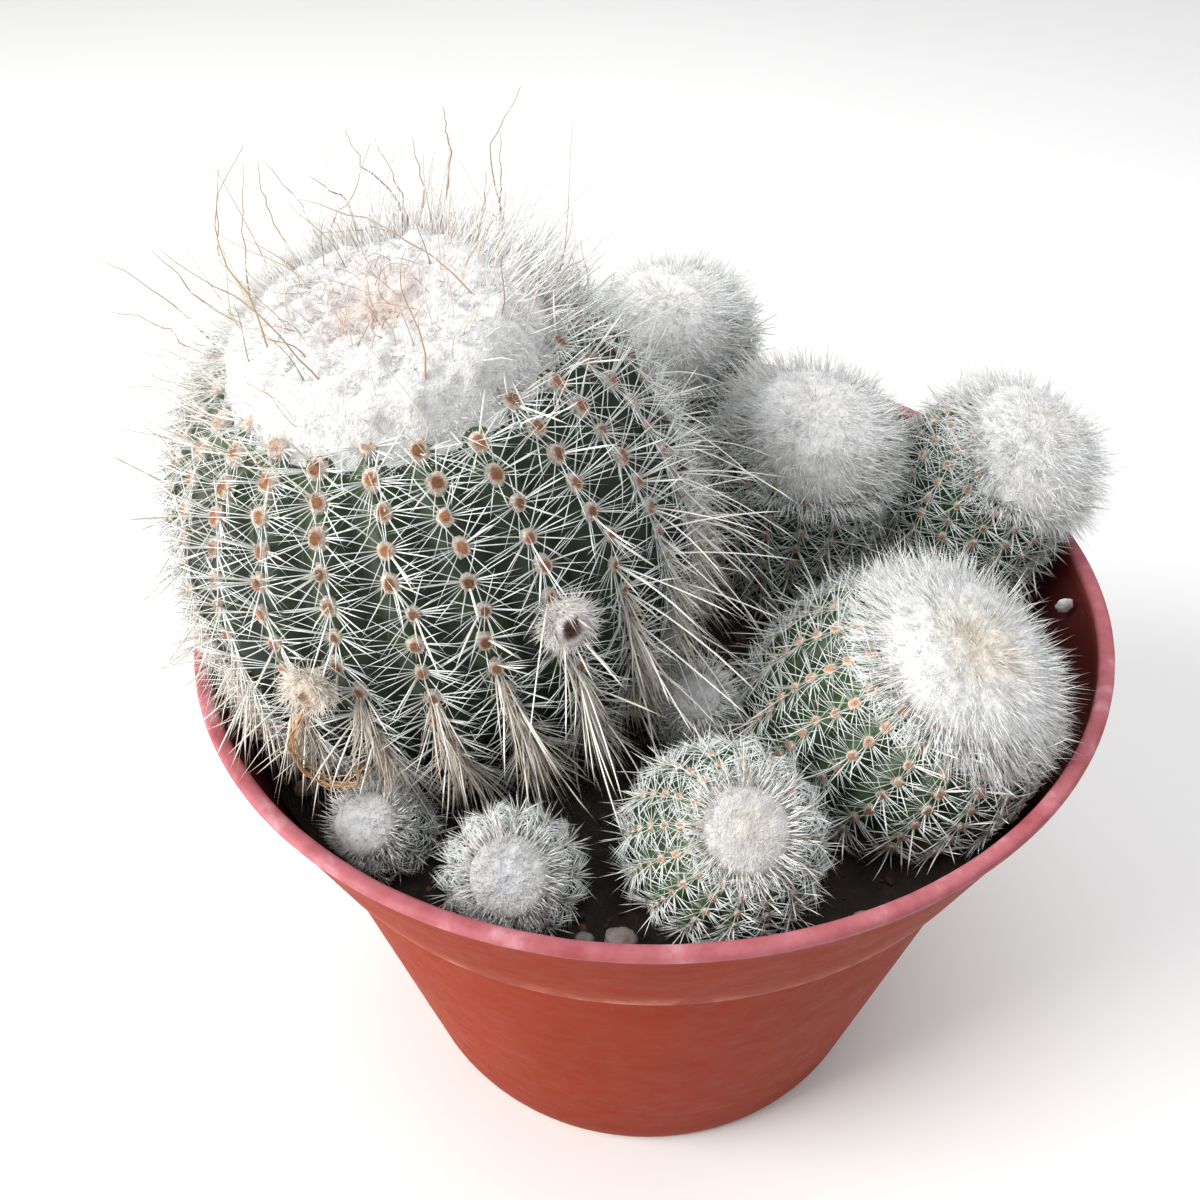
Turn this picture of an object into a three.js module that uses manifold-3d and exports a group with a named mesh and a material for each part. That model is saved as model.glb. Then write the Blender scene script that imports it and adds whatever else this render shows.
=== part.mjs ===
// Potted silver ball cactus: a cluster of nine ribbed stems in a moulded nursery pot.
// Millimetres, +Z up, origin at the centre of the pot's flat base, +Y away from the
// side on which the small offsets grow.
import * as THREE from 'three';
import { mergeVertices } from 'three/addons/utils/BufferGeometryUtils.js';
import Module from 'manifold-3d';

const wasm = await Module();
wasm.setup();

// ---------------------------------------------------------------- driving dimensions
const RIM_R = 70.0;          // outer radius at the rim
const POT_H = 97.4;          // height over all
const COLLAR_H = 23.0;       // height of the collar band
const COLLAR_BOTTOM_R = 62.4;
const BODY_TOP_R = 60.7;     // wall radius just under the collar
const BASE_R = 45.9;
const WALL = 1.4;
const LIP_W = 2.3;           // width of the lip's top
const FLOOR_T = 2.8;
const CHANNEL_R = [21, 39.5];// drainage channel under the floor
const CHANNEL_D = 1.1;
const DRAIN_N = 8;
const DRAIN_R = 3.1;
const DRAIN_PCR = 30.5;
const SOIL_TOP = 85.4;
const GAP = 0.35;            // clearance between touching pieces
const POT_SEG = 56;

// Stems. c centre of the widest section, ax axis, R radius over the rib crests, up and
// dn heights of the upper and lower part, n and nb roundness of each, crown radius of
// the woolly top, wool its height, dip the hollow in its middle, ribs and the angle of
// one crest, k sections for each rib, rings, spine count and length range.
const STEMS = {
  stem_main:        { c: [-30.7, -5, 108], ax: [-0.16, -0.06, 1], R: 37.0, up: 40, dn: 32, n: 2.4, nb: 2.05, crown: 20.5, wool: 3.0, dip: 2.6, ribs: 24, rib0: 1, depth: 2.4, k: 4, rings: 15, spines: 46, len: [9, 17] },
  stem_right_front: { c: [35.1, -24.4, 89], ax: [0.40, -0.2, 0.91], R: 21, up: 22, dn: 20, n: 2.4, nb: 2.1, crown: 12.5, wool: 2.4, dip: 0.8, ribs: 20, rib0: 128, depth: 1.7, k: 3, rings: 11, spines: 22, len: [6, 11] },
  stem_front:       { c: [10.3, -48.6, 92.3], ax: [0.2, -0.467, 0.83], R: 12.5, up: 12, dn: 14, n: 2.4, nb: 2.1, crown: 5.6, wool: 0.7, dip: 0.2, ribs: 16, rib0: 0, depth: 1.2, k: 2, rings: 9, spines: 14, len: [3.5, 6.5] },
  stem_front_left:  { c: [-17, -52.6, 88.8], ax: [0.05, -0.55, 0.8], R: 8.5, up: 8, dn: 11, n: 2.4, nb: 2.0, crown: 5, wool: 1.4, dip: 0.2, ribs: 13, rib0: 0, depth: 0.9, k: 2, rings: 8, spines: 9, len: [3, 5.5] },
  stem_far_left:    { c: [-35.1, -45.2, 87.4], ax: [-0.26, -0.4, 0.85], R: 6.2, up: 6.6, dn: 9, n: 2.4, nb: 2.0, crown: 4.2, wool: 1.4, dip: 0.2, ribs: 12, rib0: 0, depth: 0.7, k: 2, rings: 8, spines: 7, len: [3, 5] },
  stem_back:        { c: [23.9, 15.5, 105], ax: [0.08, 0.10, 1], R: 14.5, up: 15.5, dn: 27, n: 2.4, nb: 1.8, crown: 10.3, wool: 2.0, dip: 0.8, ribs: 18, rib0: 105.5, depth: 1.4, k: 2, rings: 9, spines: 14, len: [6, 11] },
  stem_back_right:  { c: [53.5, 14.5, 105], ax: [0.32, 0.12, 0.93], R: 13.8, up: 14.5, dn: 25, n: 2.4, nb: 1.75, crown: 9.8, wool: 2.0, dip: 0.8, ribs: 18, rib0: 107.5, depth: 1.4, k: 2, rings: 9, spines: 14, len: [6, 11] },
  stem_rear:        { c: [3, 43, 109], ax: [-0.03, 0.06, 1], R: 15, up: 16, dn: 31, n: 2.4, nb: 1.9, crown: 10.2, wool: 2.2, dip: 0.8, ribs: 18, rib0: 0, depth: 1.4, k: 2, rings: 9, spines: 16, len: [7, 12] },
  stem_centre:      { c: [7.2, -22.5, 89.5], ax: [0.0, -0.4, 0.9], R: 6.2, up: 6.5, dn: 9, n: 2.4, nb: 2.0, crown: 3.5, wool: 0.8, dip: 0.2, ribs: 11, rib0: 0, depth: 0.7, k: 2, rings: 7, spines: 5, len: [2.5, 4] },
};

// Small things on and between the stems: [centre, size, axis]
const BUD = { p: [-10.1, -36.4, 119.9], d: [0.36, -0.90, 0.18], r: 2.9, h: 4.6 };
const DRIED = { p: [-41.2, -44.0, 115.2], d: [-0.25, -0.92, -0.1], r: 2.6, h: 4.0 };
const PEBBLES = {
  pebble_front: { p: [-2.6, -60.2, SOIL_TOP + 1.55], s: [2.6, 1.9, 1.2], seed: 3 },
  pebble_front_small: { p: [-7.3, -60.3, SOIL_TOP + 1.35], s: [1.5, 1.3, 1.0], seed: 9 },
  pebble_right: { p: [28.6, -56.2, SOIL_TOP + 1.45], s: [2.0, 1.5, 1.1], seed: 5 },
  pebble_left: { p: [-48.5, -36.8, SOIL_TOP + 1.45], s: [1.9, 1.6, 1.1], seed: 12 },
  pebble_rear: { p: [-19.5, 56.5, SOIL_TOP + 1.65], s: [2.8, 2.2, 1.3], seed: 21 },
  pebble_rear_small: { p: [33.5, 47.0, SOIL_TOP + 1.35], s: [1.7, 1.4, 1.0], seed: 33 },
};

// ---------------------------------------------------------------- helpers
const V = (a) => new THREE.Vector3(a[0], a[1], a[2]);
function rng(seed) {
  let s = seed >>> 0;
  return () => {
    s = (s + 0x6D2B79F5) >>> 0;
    let t = Math.imul(s ^ (s >>> 15), 1 | s);
    t = (t + Math.imul(t ^ (t >>> 7), 61 | t)) ^ t;
    return ((t ^ (t >>> 14)) >>> 0) / 4294967296;
  };
}

// closed mesh -> manifold solid, facing outwards
function toSolid(geometry) {
  const g = geometry.clone();
  g.deleteAttribute('normal');
  if (g.attributes.uv) g.deleteAttribute('uv');
  const m = mergeVertices(g, 1e-4);
  const pos = m.attributes.position.array;
  const idx = m.index.array;
  const tri = [];
  for (let i = 0; i < idx.length; i += 3) {
    const a = idx[i], b = idx[i + 1], c = idx[i + 2];
    if (a !== b && b !== c && a !== c) tri.push(a, b, c);
  }
  let vol = 0;
  for (let i = 0; i < tri.length; i += 3) {
    const [a, b, c] = [tri[i] * 3, tri[i + 1] * 3, tri[i + 2] * 3];
    vol += pos[a] * (pos[b + 1] * pos[c + 2] - pos[b + 2] * pos[c + 1])
      - pos[a + 1] * (pos[b] * pos[c + 2] - pos[b + 2] * pos[c])
      + pos[a + 2] * (pos[b] * pos[c + 1] - pos[b + 1] * pos[c]);
  }
  if (vol < 0) for (let i = 0; i < tri.length; i += 3) [tri[i + 1], tri[i + 2]] = [tri[i + 2], tri[i + 1]];
  return new wasm.Manifold(new wasm.Mesh({
    numProp: 3, vertProperties: new Float32Array(pos), triVerts: new Uint32Array(tri),
  }));
}
function toGeometry(solid) {
  const m = solid.getMesh();
  const g = new THREE.BufferGeometry();
  g.setAttribute('position', new THREE.BufferAttribute(new Float32Array(m.vertProperties), 3));
  g.setIndex(new THREE.BufferAttribute(new Uint32Array(m.triVerts), 1));
  g.computeVertexNormals();
  return g;
}
const group = new THREE.Group();
function add(name, solid, colour, roughness, metalness = 0) {
  const mesh = new THREE.Mesh(toGeometry(solid),
    new THREE.MeshStandardMaterial({ color: colour, roughness, metalness }));
  mesh.name = name;
  group.add(mesh);
}
const uprightLathe = (points, seg) => new THREE.LatheGeometry(points.map((p) => new THREE.Vector2(p[0], p[1])), seg).rotateX(Math.PI / 2);

// ---------------------------------------------------------------- stem shape
for (const s of Object.values(STEMS)) {
  s.a = V(s.ax).normalize();
  s.u = new THREE.Vector3(0, 0, 1).cross(s.a).normalize();
  s.v = s.a.clone().cross(s.u);
  s.C = V(s.c);
}
// radius over the crests at height fraction t from -1 (foot) to 1 (top)
const radiusAt = (s, t) => s.R * Math.pow(Math.max(0, 1 - Math.pow(Math.abs(t), t >= 0 ? s.n : s.nb)), 1 / (t >= 0 ? s.n : s.nb));
const heightAt = (s, t) => (t >= 0 ? t * s.up : t * s.dn);
// woolly crown: a low ring with a hollow middle
function crownLift(s, r) {
  const q = r / s.crown;
  if (q >= 1.15) return 0;
  const e = Math.min(1, (1.15 - q) / 0.45);
  return s.wool * e * e * (3 - 2 * e) - s.dip * Math.max(0, 1 - q * q * 2.6);
}
const ribFade = (t) => Math.min(1, Math.max(0, (0.985 - t) / 0.25)) * Math.min(1, Math.max(0, (t + 1) / 0.5));
function stemLathe(s, grow = 0, seg = s.ribs * s.k, rings = s.rings, ribbed = true) {
  const pts = [];
  for (let i = 0; i <= rings; i++) {
    const f = -Math.PI / 2 + Math.PI * i / rings;
    const t = Math.sin(f);
    const r = i === 0 || i === rings ? 0 : radiusAt(s, t);
    let h = heightAt(s, t);
    if (ribbed) h += crownLift(s, r) * (t > 0 ? 1 : 0);
    const gr = r === 0 ? 0 : r + grow;
    pts.push(new THREE.Vector2(gr, h + grow * Math.sign(t) * Math.abs(Math.sin(f))));
  }
  const rib0 = THREE.MathUtils.degToRad(s.rib0);
  const g = new THREE.LatheGeometry(pts, seg, rib0);
  if (ribbed) {
    const p = g.attributes.position;
    for (let i = 0; i < p.count; i++) {
      const x = p.getX(i), y = p.getY(i), z = p.getZ(i);
      const r = Math.hypot(x, z);
      if (r < 1e-6) continue;
      const th = Math.atan2(x, z) - rib0;
      const t = y >= 0 ? Math.min(1, y / s.up) : y / s.dn;
      const d = s.depth * ribFade(t) * Math.min(1, r / (0.5 * s.R)) * (0.5 - 0.5 * Math.cos(th * s.ribs));
      p.setXYZ(i, x * (r - d) / r, y, z * (r - d) / r);
    }
  }
  g.applyMatrix4(new THREE.Matrix4().makeBasis(s.v, s.a, s.u).setPosition(s.C));
  return g;
}

// ---------------------------------------------------------------- clearances for spines
function insideStem(s, p, grow) {
  const q = p.clone().sub(s.C);
  const h = q.dot(s.a), rr = Math.hypot(q.dot(s.u), q.dot(s.v));
  const t = h >= 0 ? h / (s.up + s.wool + grow) : h / (s.dn + grow);
  const n = h >= 0 ? s.n : s.nb;
  return Math.pow(Math.abs(t), n) + Math.pow(rr / (s.R + grow), n) < 1;
}
function potInner(z) {
  const cb = POT_H - COLLAR_H;
  if (z > cb + 1) return COLLAR_BOTTOM_R + (RIM_R - COLLAR_BOTTOM_R) * (z - cb) / COLLAR_H - LIP_W;
  return BASE_R + (BODY_TOP_R - BASE_R) * z / cb - WALL;
}
const KEEP_OFF = [
  { p: V(BUD.p), r: 4.2 }, { p: V(DRIED.p), r: 4.2 },
  ...Object.values(PEBBLES).map((b) => ({ p: V(b.p), r: 3.6 })),
];
const FIBRE = [[-41.4, -44.6, 112.6], [-44.6, -45.3, 107.4], [-45.3, -44.6, 101.8], [-42.2, -45.6, 98.6], [-37.6, -46.6, 99.8], [-36.4, -47.2, 103.6]];
const fibreCurve = new THREE.CatmullRomCurve3(FIBRE.map(V));
for (const p of fibreCurve.getPoints(14)) KEEP_OFF.push({ p, r: 1.6 });
const FLAKES = { grit_flake: { p: [65.6, -1.6, 93.6], s: [1.5, 0.55, 1.7], seed: 41 }, grit_grain: { p: [64.6, 8.6, 94.4], s: [0.8, 0.7, 0.8], seed: 47 } };
for (const f of Object.values(FLAKES)) KEEP_OFF.push({ p: V(f.p), r: 2.6 });
const placed = [];   // accepted spines of all stems
function spineFits(owner, base, tip) {
  for (let i = 2; i <= 10; i++) {
    const p = base.clone().lerp(tip, i / 10);
    for (const [name, s] of Object.entries(STEMS)) if (name !== owner && insideStem(s, p, 1.1)) return false;
    const rho = Math.hypot(p.x, p.y);
    if (p.z < POT_H + 1.2 && rho > potInner(p.z) - 1.0) return false;
    if (p.z < SOIL_TOP + 1.8) return false;
    for (const k of KEEP_OFF) if (p.distanceTo(k.p) < k.r) return false;
    for (const o of placed) if (o.owner !== owner) {
      const ab = o.tip.clone().sub(o.base);
      const w = Math.min(1, Math.max(0, p.clone().sub(o.base).dot(ab) / ab.lengthSq()));
      if (p.distanceTo(o.base.clone().addScaledVector(ab, w)) < 1.3) return false;
    }
  }
  return true;
}
function spineSolid(base, tip, r) {
  const d = tip.clone().sub(base);
  const L = d.length();
  const g = new THREE.ConeGeometry(r, L, 3, 1);
  g.translate(0, L / 2, 0);
  const q = new THREE.Quaternion().setFromUnitVectors(new THREE.Vector3(0, 1, 0), d.normalize());
  g.applyQuaternion(q);
  g.translate(base.x, base.y, base.z);
  return toSolid(g);
}
// point on a rib crest, with its outward normal
function onCrest(s, t, rib) {
  const th = THREE.MathUtils.degToRad(s.rib0 + rib * 360 / s.ribs);
  const er = s.u.clone().multiplyScalar(Math.cos(th)).addScaledVector(s.v, Math.sin(th));
  const r = radiusAt(s, t);
  const e = 0.01;
  const dr = radiusAt(s, Math.min(0.999, t + e)) - radiusAt(s, t - e);
  const dh = heightAt(s, Math.min(0.999, t + e)) - heightAt(s, t - e);
  const n = er.clone().multiplyScalar(dh).addScaledVector(s.a, -dr).normalize();
  const p = s.C.clone().addScaledVector(s.a, heightAt(s, t)).addScaledVector(er, r);
  return { p, n, er, et: s.a.clone().cross(er) };
}

// ---------------------------------------------------------------- the longest crown bristles
const BRISTLES = {
  stem_main: [
    [[-57.0, 6.5, 137.5], [-76.5, 6.0, 146.5]],
    [[-52.0, 9.0, 140.5], [-60.0, 12.5, 160.5]],
    [[-19.0, 17.0, 144.0], [-17.0, 21.0, 161.0]],
    [[-24.5, -4.0, 147.0], [-29.0, 0.5, 162.5]],
    [[-30.0, 20.0, 143.0], [-28.0, 27.0, 158.0]],
    [[-44.0, 16.0, 143.0], [-49.0, 24.0, 157.0]],
  ],
};

// ---------------------------------------------------------------- stems
const FLESH = { stem_main: 0x24401c, stem_centre: 0x7f9a5c };
let seed = 11;
for (const [name, s] of Object.entries(STEMS)) {
  const rand = rng(seed += 7919);
  const parts = [toSolid(stemLathe(s))];
  for (const [b, t] of BRISTLES[name] || []) {
    const base = V(b), tip = V(t);
    // sink the root into the flesh
    const root = base.clone();
    for (let k = 0; k < 60 && !insideStem({ ...s, wool: 0 }, root, -1.2); k++) root.addScaledVector(s.C.clone().sub(base).normalize(), 0.5);
    if (!spineFits(name, root.clone().lerp(tip, 0.3), tip)) continue;
    placed.push({ owner: name, base: root, tip });
    parts.push(spineSolid(root, tip, 0.55));
  }
  let made = 0;
  for (let i = 0; i < s.spines * 14 && made < s.spines; i++) {
    const t = -0.32 + 1.2 * Math.pow(rand(), 0.9);
    const c = onCrest(s, Math.min(0.86, t), Math.floor(rand() * s.ribs));
    const L = s.len[0] + (s.len[1] - s.len[0]) * Math.pow(rand(), 1.5);
    const d = c.n.clone().addScaledVector(c.et, 1.1 * (rand() - 0.5)).addScaledVector(s.a, t > 0.45 ? 0.75 * rand() : -0.75 * rand()).normalize();
    const base = c.p.clone().addScaledVector(c.n, -1.3);
    const tip = c.p.clone().addScaledVector(d, L);
    const from = c.p.clone().addScaledVector(d, 0.6);
    if (!spineFits(name, from, tip)) continue;
    placed.push({ owner: name, base, tip });
    parts.push(spineSolid(base, tip, Math.min(0.55, 0.3 + s.R / 100)));
    made++;
  }
  add(name, parts.length > 1 ? wasm.Manifold.union(parts) : parts[0], FLESH[name] || 0x3d5a2a, 0.62);
}

// ---------------------------------------------------------------- pot
{
  const cb = POT_H - COLLAR_H;
  const collar = (z) => COLLAR_BOTTOM_R + (RIM_R - COLLAR_BOTTOM_R) * (z - cb) / COLLAR_H;
  const body = (z) => BASE_R + (BODY_TOP_R - BASE_R) * z / cb;
  const shell = toSolid(uprightLathe([
    [0, 0], [CHANNEL_R[0], 0], [CHANNEL_R[0] + 0.8, CHANNEL_D], [CHANNEL_R[1] - 0.8, CHANNEL_D], [CHANNEL_R[1], 0],
    [BASE_R - 2.0, 0], [BASE_R - 0.5, 0.6], [body(2.2), 2.2],
    [body(cb - 0.6), cb - 0.6], [collar(cb) - 0.5, cb], [collar(cb + 0.8), cb + 0.8],
    [collar(POT_H - 1.6), POT_H - 1.6], [RIM_R, POT_H - 0.9], [RIM_R - 0.4, POT_H],
    [RIM_R - LIP_W + 0.4, POT_H], [RIM_R - LIP_W, POT_H - 0.5], [collar(POT_H - 3) - WALL, POT_H - 3],
    [collar(cb + 1.6) - WALL, cb + 1.6], [body(cb - 0.2) - WALL, cb - 0.2],
    [body(FLOOR_T + 2) - WALL, FLOOR_T + 2], [BASE_R - 3.4, FLOOR_T], [0, FLOOR_T],
  ], POT_SEG));
  let pot = shell;
  for (let i = 0; i < DRAIN_N; i++) {
    const a = 2 * Math.PI * i / DRAIN_N;
    const hole = new THREE.CylinderGeometry(DRAIN_R, DRAIN_R, 8, 12).rotateX(Math.PI / 2);
    hole.translate(DRAIN_PCR * Math.cos(a), DRAIN_PCR * Math.sin(a), 1);
    pot = pot.subtract(toSolid(hole));
  }
  // notches that let water out of the channel, under the foot ring
  for (let i = 0; i < 4; i++) {
    const notch = new THREE.BoxGeometry(14, 7, 2 * CHANNEL_D - 0.4);
    notch.translate(43.5, 0, 0);
    notch.rotateZ(Math.PI / 4 + i * Math.PI / 2);
    pot = pot.subtract(toSolid(notch));
  }
  add('pot', pot, 0xb45a36, 0.5);

  // growing mix: fills the pot to 12 mm under the rim, with a socket for each stem
  const soilBody = (z) => body(z) - WALL - GAP;
  const soil0 = uprightLathe([
    [0, FLOOR_T + GAP], [BASE_R - 4.4, FLOOR_T + GAP], [soilBody(FLOOR_T + 2.6) - 0.3, FLOOR_T + 2.6],
    [soilBody(cb - 1.2), cb - 1.2], [soilBody(cb) - 0.2, cb + 0.4],
    [collar(cb + 2.4) - WALL - GAP - 0.7, cb + 3.2],
    [collar(SOIL_TOP) - WALL - GAP - 0.4, SOIL_TOP - 0.6], [50, SOIL_TOP], [30, SOIL_TOP + 0.4], [0, SOIL_TOP + 0.6],
  ], 44);
  const r2 = rng(77);
  const lift = new Map();
  const p = soil0.attributes.position;
  for (let i = 0; i < p.count; i++) {
    if (p.getZ(i) < SOIL_TOP - 0.1 || Math.hypot(p.getX(i), p.getY(i)) < 1) continue;
    const key = [p.getX(i), p.getY(i)].map((x) => Math.round(x * 50) + 0).join();
    if (!lift.has(key)) lift.set(key, (r2() - 0.5) * 0.9 - 0.45);
    p.setZ(i, p.getZ(i) + lift.get(key));
  }
  let soil = toSolid(soil0);
  for (const s of Object.values(STEMS)) {
    const reach = 0.45 + s.R * (1 - Math.cos(Math.PI / s.ribs));
    soil = soil.subtract(toSolid(stemLathe(s, reach, s.ribs, s.rings, false)));
  }
  const bodies = soil.decompose();
  bodies.sort((a, b) => b.volume() - a.volume());
  add('soil', bodies[0], 0x2a1f18, 0.95);
}

// ---------------------------------------------------------------- woolly bud and dried flower remains
function standOn(profile, seg, at, dir, wob, rand) {
  const g = new THREE.LatheGeometry(profile.map((q) => new THREE.Vector2(q[0], q[1])), seg);
  const d = V(dir).normalize();
  g.applyQuaternion(new THREE.Quaternion().setFromUnitVectors(new THREE.Vector3(0, 1, 0), d));
  g.translate(at[0], at[1], at[2]);
  return toSolid(g);
}
add('flower_bud', standOn([[0, -BUD.h * 0.35], [BUD.r * 0.7, -BUD.h * 0.3], [BUD.r, 0], [BUD.r * 0.86, BUD.h * 0.35], [BUD.r * 0.4, BUD.h * 0.6], [0, BUD.h * 0.65]], 14, BUD.p, BUD.d), 0xe8dfcf, 0.9);
add('dried_flower', standOn([[0, -DRIED.h * 0.35], [DRIED.r * 0.6, -DRIED.h * 0.32], [DRIED.r, 0.1], [DRIED.r * 0.8, DRIED.h * 0.3], [DRIED.r * 0.45, DRIED.h * 0.62], [0, DRIED.h * 0.68]], 12, DRIED.p, DRIED.d), 0xb89a78, 0.95);
{
  // dried flower tube hanging as a loop from the remains, among the spines
  const outline = new THREE.Shape();
  for (let i = 0; i < 6; i++) {
    const a = i * Math.PI / 3;
    if (i === 0) outline.moveTo(0.42 * Math.cos(a), 0.42 * Math.sin(a)); else outline.lineTo(0.42 * Math.cos(a), 0.42 * Math.sin(a));
  }
  outline.closePath();
  add('dried_strand', toSolid(new THREE.ExtrudeGeometry(outline, { steps: 16, bevelEnabled: false, extrudePath: fibreCurve })), 0x6a4a34, 0.9);
}

// ---------------------------------------------------------------- pebbles and grit
function pebble(s, p, sd) {
  const g = new THREE.SphereGeometry(1, 10, 7).rotateX(Math.PI / 2);
  const r = rng(sd);
  const key = new Map();
  const q = g.attributes.position;
  for (let i = 0; i < q.count; i++) {
    const k = [q.getX(i), q.getY(i), q.getZ(i)].map((x) => Math.round(x * 1000) + 0).join();
    if (!key.has(k)) key.set(k, 0.86 + 0.14 * r());
    const f = key.get(k);
    q.setXYZ(i, q.getX(i) * f * s[0] + p[0], q.getY(i) * f * s[1] + p[1], q.getZ(i) * f * s[2] + p[2]);
  }
  return toSolid(g);
}
for (const [name, b] of Object.entries(PEBBLES)) add(name, pebble(b.s, b.p, b.seed), 0x9a857a, 0.9);
for (const [name, b] of Object.entries(FLAKES)) add(name, pebble(b.s, b.p, b.seed), 0xe6e2da, 0.9);

export default group;
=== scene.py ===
import math

import bpy
import numpy as np
from mathutils import Matrix, Vector, noise


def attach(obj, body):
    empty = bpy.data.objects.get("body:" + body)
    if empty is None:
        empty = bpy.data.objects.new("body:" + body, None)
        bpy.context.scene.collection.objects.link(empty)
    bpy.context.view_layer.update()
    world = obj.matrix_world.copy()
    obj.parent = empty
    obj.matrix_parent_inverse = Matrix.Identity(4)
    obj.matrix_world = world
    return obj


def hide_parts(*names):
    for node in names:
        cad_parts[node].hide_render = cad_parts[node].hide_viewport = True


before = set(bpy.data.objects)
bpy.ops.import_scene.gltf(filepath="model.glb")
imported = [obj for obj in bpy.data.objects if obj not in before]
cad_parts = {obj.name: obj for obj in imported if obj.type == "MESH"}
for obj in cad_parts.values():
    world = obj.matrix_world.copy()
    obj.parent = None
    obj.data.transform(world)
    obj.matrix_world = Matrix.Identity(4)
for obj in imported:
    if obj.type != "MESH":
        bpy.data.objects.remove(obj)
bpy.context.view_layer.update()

MM = 0.001
scene = bpy.context.scene
BODY = "root"

# ------------------------------------------------------------------ dimensions (mm), as in the CAD
RIM_R, POT_H, COLLAR_H, COLLAR_BOTTOM_R = 70.0, 97.4, 23.0, 62.4
BODY_TOP_R, BASE_R, WALL, LIP_W, FLOOR_T = 60.7, 45.9, 1.4, 2.3, 2.8
CHANNEL_R, CHANNEL_D = (21.0, 39.5), 1.1
DRAIN_N, DRAIN_R, DRAIN_PCR = 8, 3.1, 30.5
SOIL_TOP = 85.4

STEMS = {
    "stem_main": dict(c=(-30.7, -5, 108), ax=(-0.16, -0.06, 1), R=37.0, up=40, dn=32, n=2.4, nb=2.05, crown=20.5,
                      wool=3.0, dip=2.6, ribs=24, rib0=1, depth=2.9, sp=4.2, s0=30.2, m=10, rings=118),
    "stem_right_front": dict(c=(35.1, -24.4, 89), ax=(0.40, -0.2, 0.91), R=21, up=22, dn=20, n=2.4, nb=2.1, crown=12.5,
                             wool=2.4, dip=0.8, ribs=20, rib0=128, depth=2.1, sp=2.9, s0=14.9, m=8, rings=76),
    "stem_front": dict(c=(10.3, -48.6, 92.3), ax=(0.2, -0.467, 0.83), R=12.5, up=12, dn=14, n=2.4, nb=2.1, crown=5.6,
                       wool=0.7, dip=0.2, ribs=16, rib0=0, depth=1.1, sp=2.3, s0=7.2, m=8, rings=60),
    "stem_front_left": dict(c=(-17, -52.6, 88.8), ax=(0.05, -0.55, 0.8), R=8.5, up=8, dn=11, n=2.4, nb=2.0, crown=5,
                            wool=1.4, dip=0.2, ribs=13, rib0=0, depth=0.9, sp=1.9, s0=5.6, m=8, rings=44),
    "stem_far_left": dict(c=(-35.1, -45.2, 87.4), ax=(-0.26, -0.4, 0.85), R=6.2, up=6.6, dn=9, n=2.4, nb=2.0, crown=4.2,
                          wool=1.4, dip=0.2, ribs=12, rib0=0, depth=0.7, sp=1.8, s0=4.6, m=8, rings=40),
    "stem_back": dict(c=(23.9, 15.5, 105), ax=(0.08, 0.10, 1), R=14.5, up=15.5, dn=27, n=2.4, nb=1.8, crown=10.3,
                      wool=2.0, dip=0.8, ribs=18, rib0=105.5, depth=1.7, sp=3.0, s0=12.4, m=7, rings=58),
    "stem_back_right": dict(c=(53.5, 14.5, 105), ax=(0.32, 0.12, 0.93), R=13.8, up=14.5, dn=25, n=2.4, nb=1.75, crown=9.8,
                            wool=2.0, dip=0.8, ribs=18, rib0=107.5, depth=1.7, sp=3.0, s0=12.0, m=7, rings=58),
    "stem_rear": dict(c=(3, 43, 109), ax=(-0.03, 0.06, 1), R=15, up=16, dn=31, n=2.4, nb=1.9, crown=10.2,
                      wool=2.2, dip=0.8, ribs=18, rib0=0, depth=1.7, sp=3.1, s0=12.6, m=7, rings=58),
    "stem_centre": dict(c=(7.2, -22.5, 89.5), ax=(0.0, -0.4, 0.9), R=6.2, up=6.5, dn=9, n=2.4, nb=2.0, crown=3.5,
                        wool=0.8, dip=0.2, ribs=11, rib0=0, depth=0.7, sp=1.8, s0=4.0, m=8, rings=36),
}
NAMES = list(STEMS)
BUD = dict(p=(-10.1, -36.4, 119.9), d=(0.36, -0.90, 0.18), r=2.9, h=4.6)
DRIED = dict(p=(-41.2, -44.0, 115.2), d=(-0.25, -0.92, -0.1), r=2.6, h=4.0)
FIBRE = [(-41.4, -44.6, 112.6), (-44.6, -45.3, 107.4), (-45.3, -44.6, 101.8), (-42.2, -45.6, 98.6), (-37.6, -46.6, 99.8),
         (-36.4, -47.2, 103.6)]


def unit(v):
    v = np.asarray(v, float)
    return v / np.maximum(1e-12, np.linalg.norm(v, axis=-1, keepdims=True))


for _s in STEMS.values():
    _s["C"] = np.array(_s["c"], float)
    _s["a"] = unit(_s["ax"])
    _s["u"] = unit(np.cross([0, 0, 1], _s["a"]))
    _s["v"] = np.cross(_s["a"], _s["u"])
    # profile table from the apex down: fraction t, radius r, height h, arc length S
    T = np.concatenate([1 - np.linspace(0, 1, 900) ** 2.0 * 1.0, -np.linspace(0, 1, 900)[1:]])
    r = np.where(T >= 0, _s["R"] * np.maximum(0, 1 - np.abs(T) ** _s["n"]) ** (1 / _s["n"]),
                 _s["R"] * np.maximum(0, 1 - np.abs(T) ** _s["nb"]) ** (1 / _s["nb"]))
    h = np.where(T >= 0, T * _s["up"], T * _s["dn"])
    S = np.concatenate([[0], np.cumsum(np.hypot(np.diff(r), np.diff(h)))])
    _s["tab"] = (T, r, h, S)


WOOL_SHIFT = {"stem_main": (1.9, -1.9), "stem_back": (0.6, -4.0), "stem_back_right": (1.6, -4.6), "stem_rear": (0.4, -4.5)}


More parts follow.
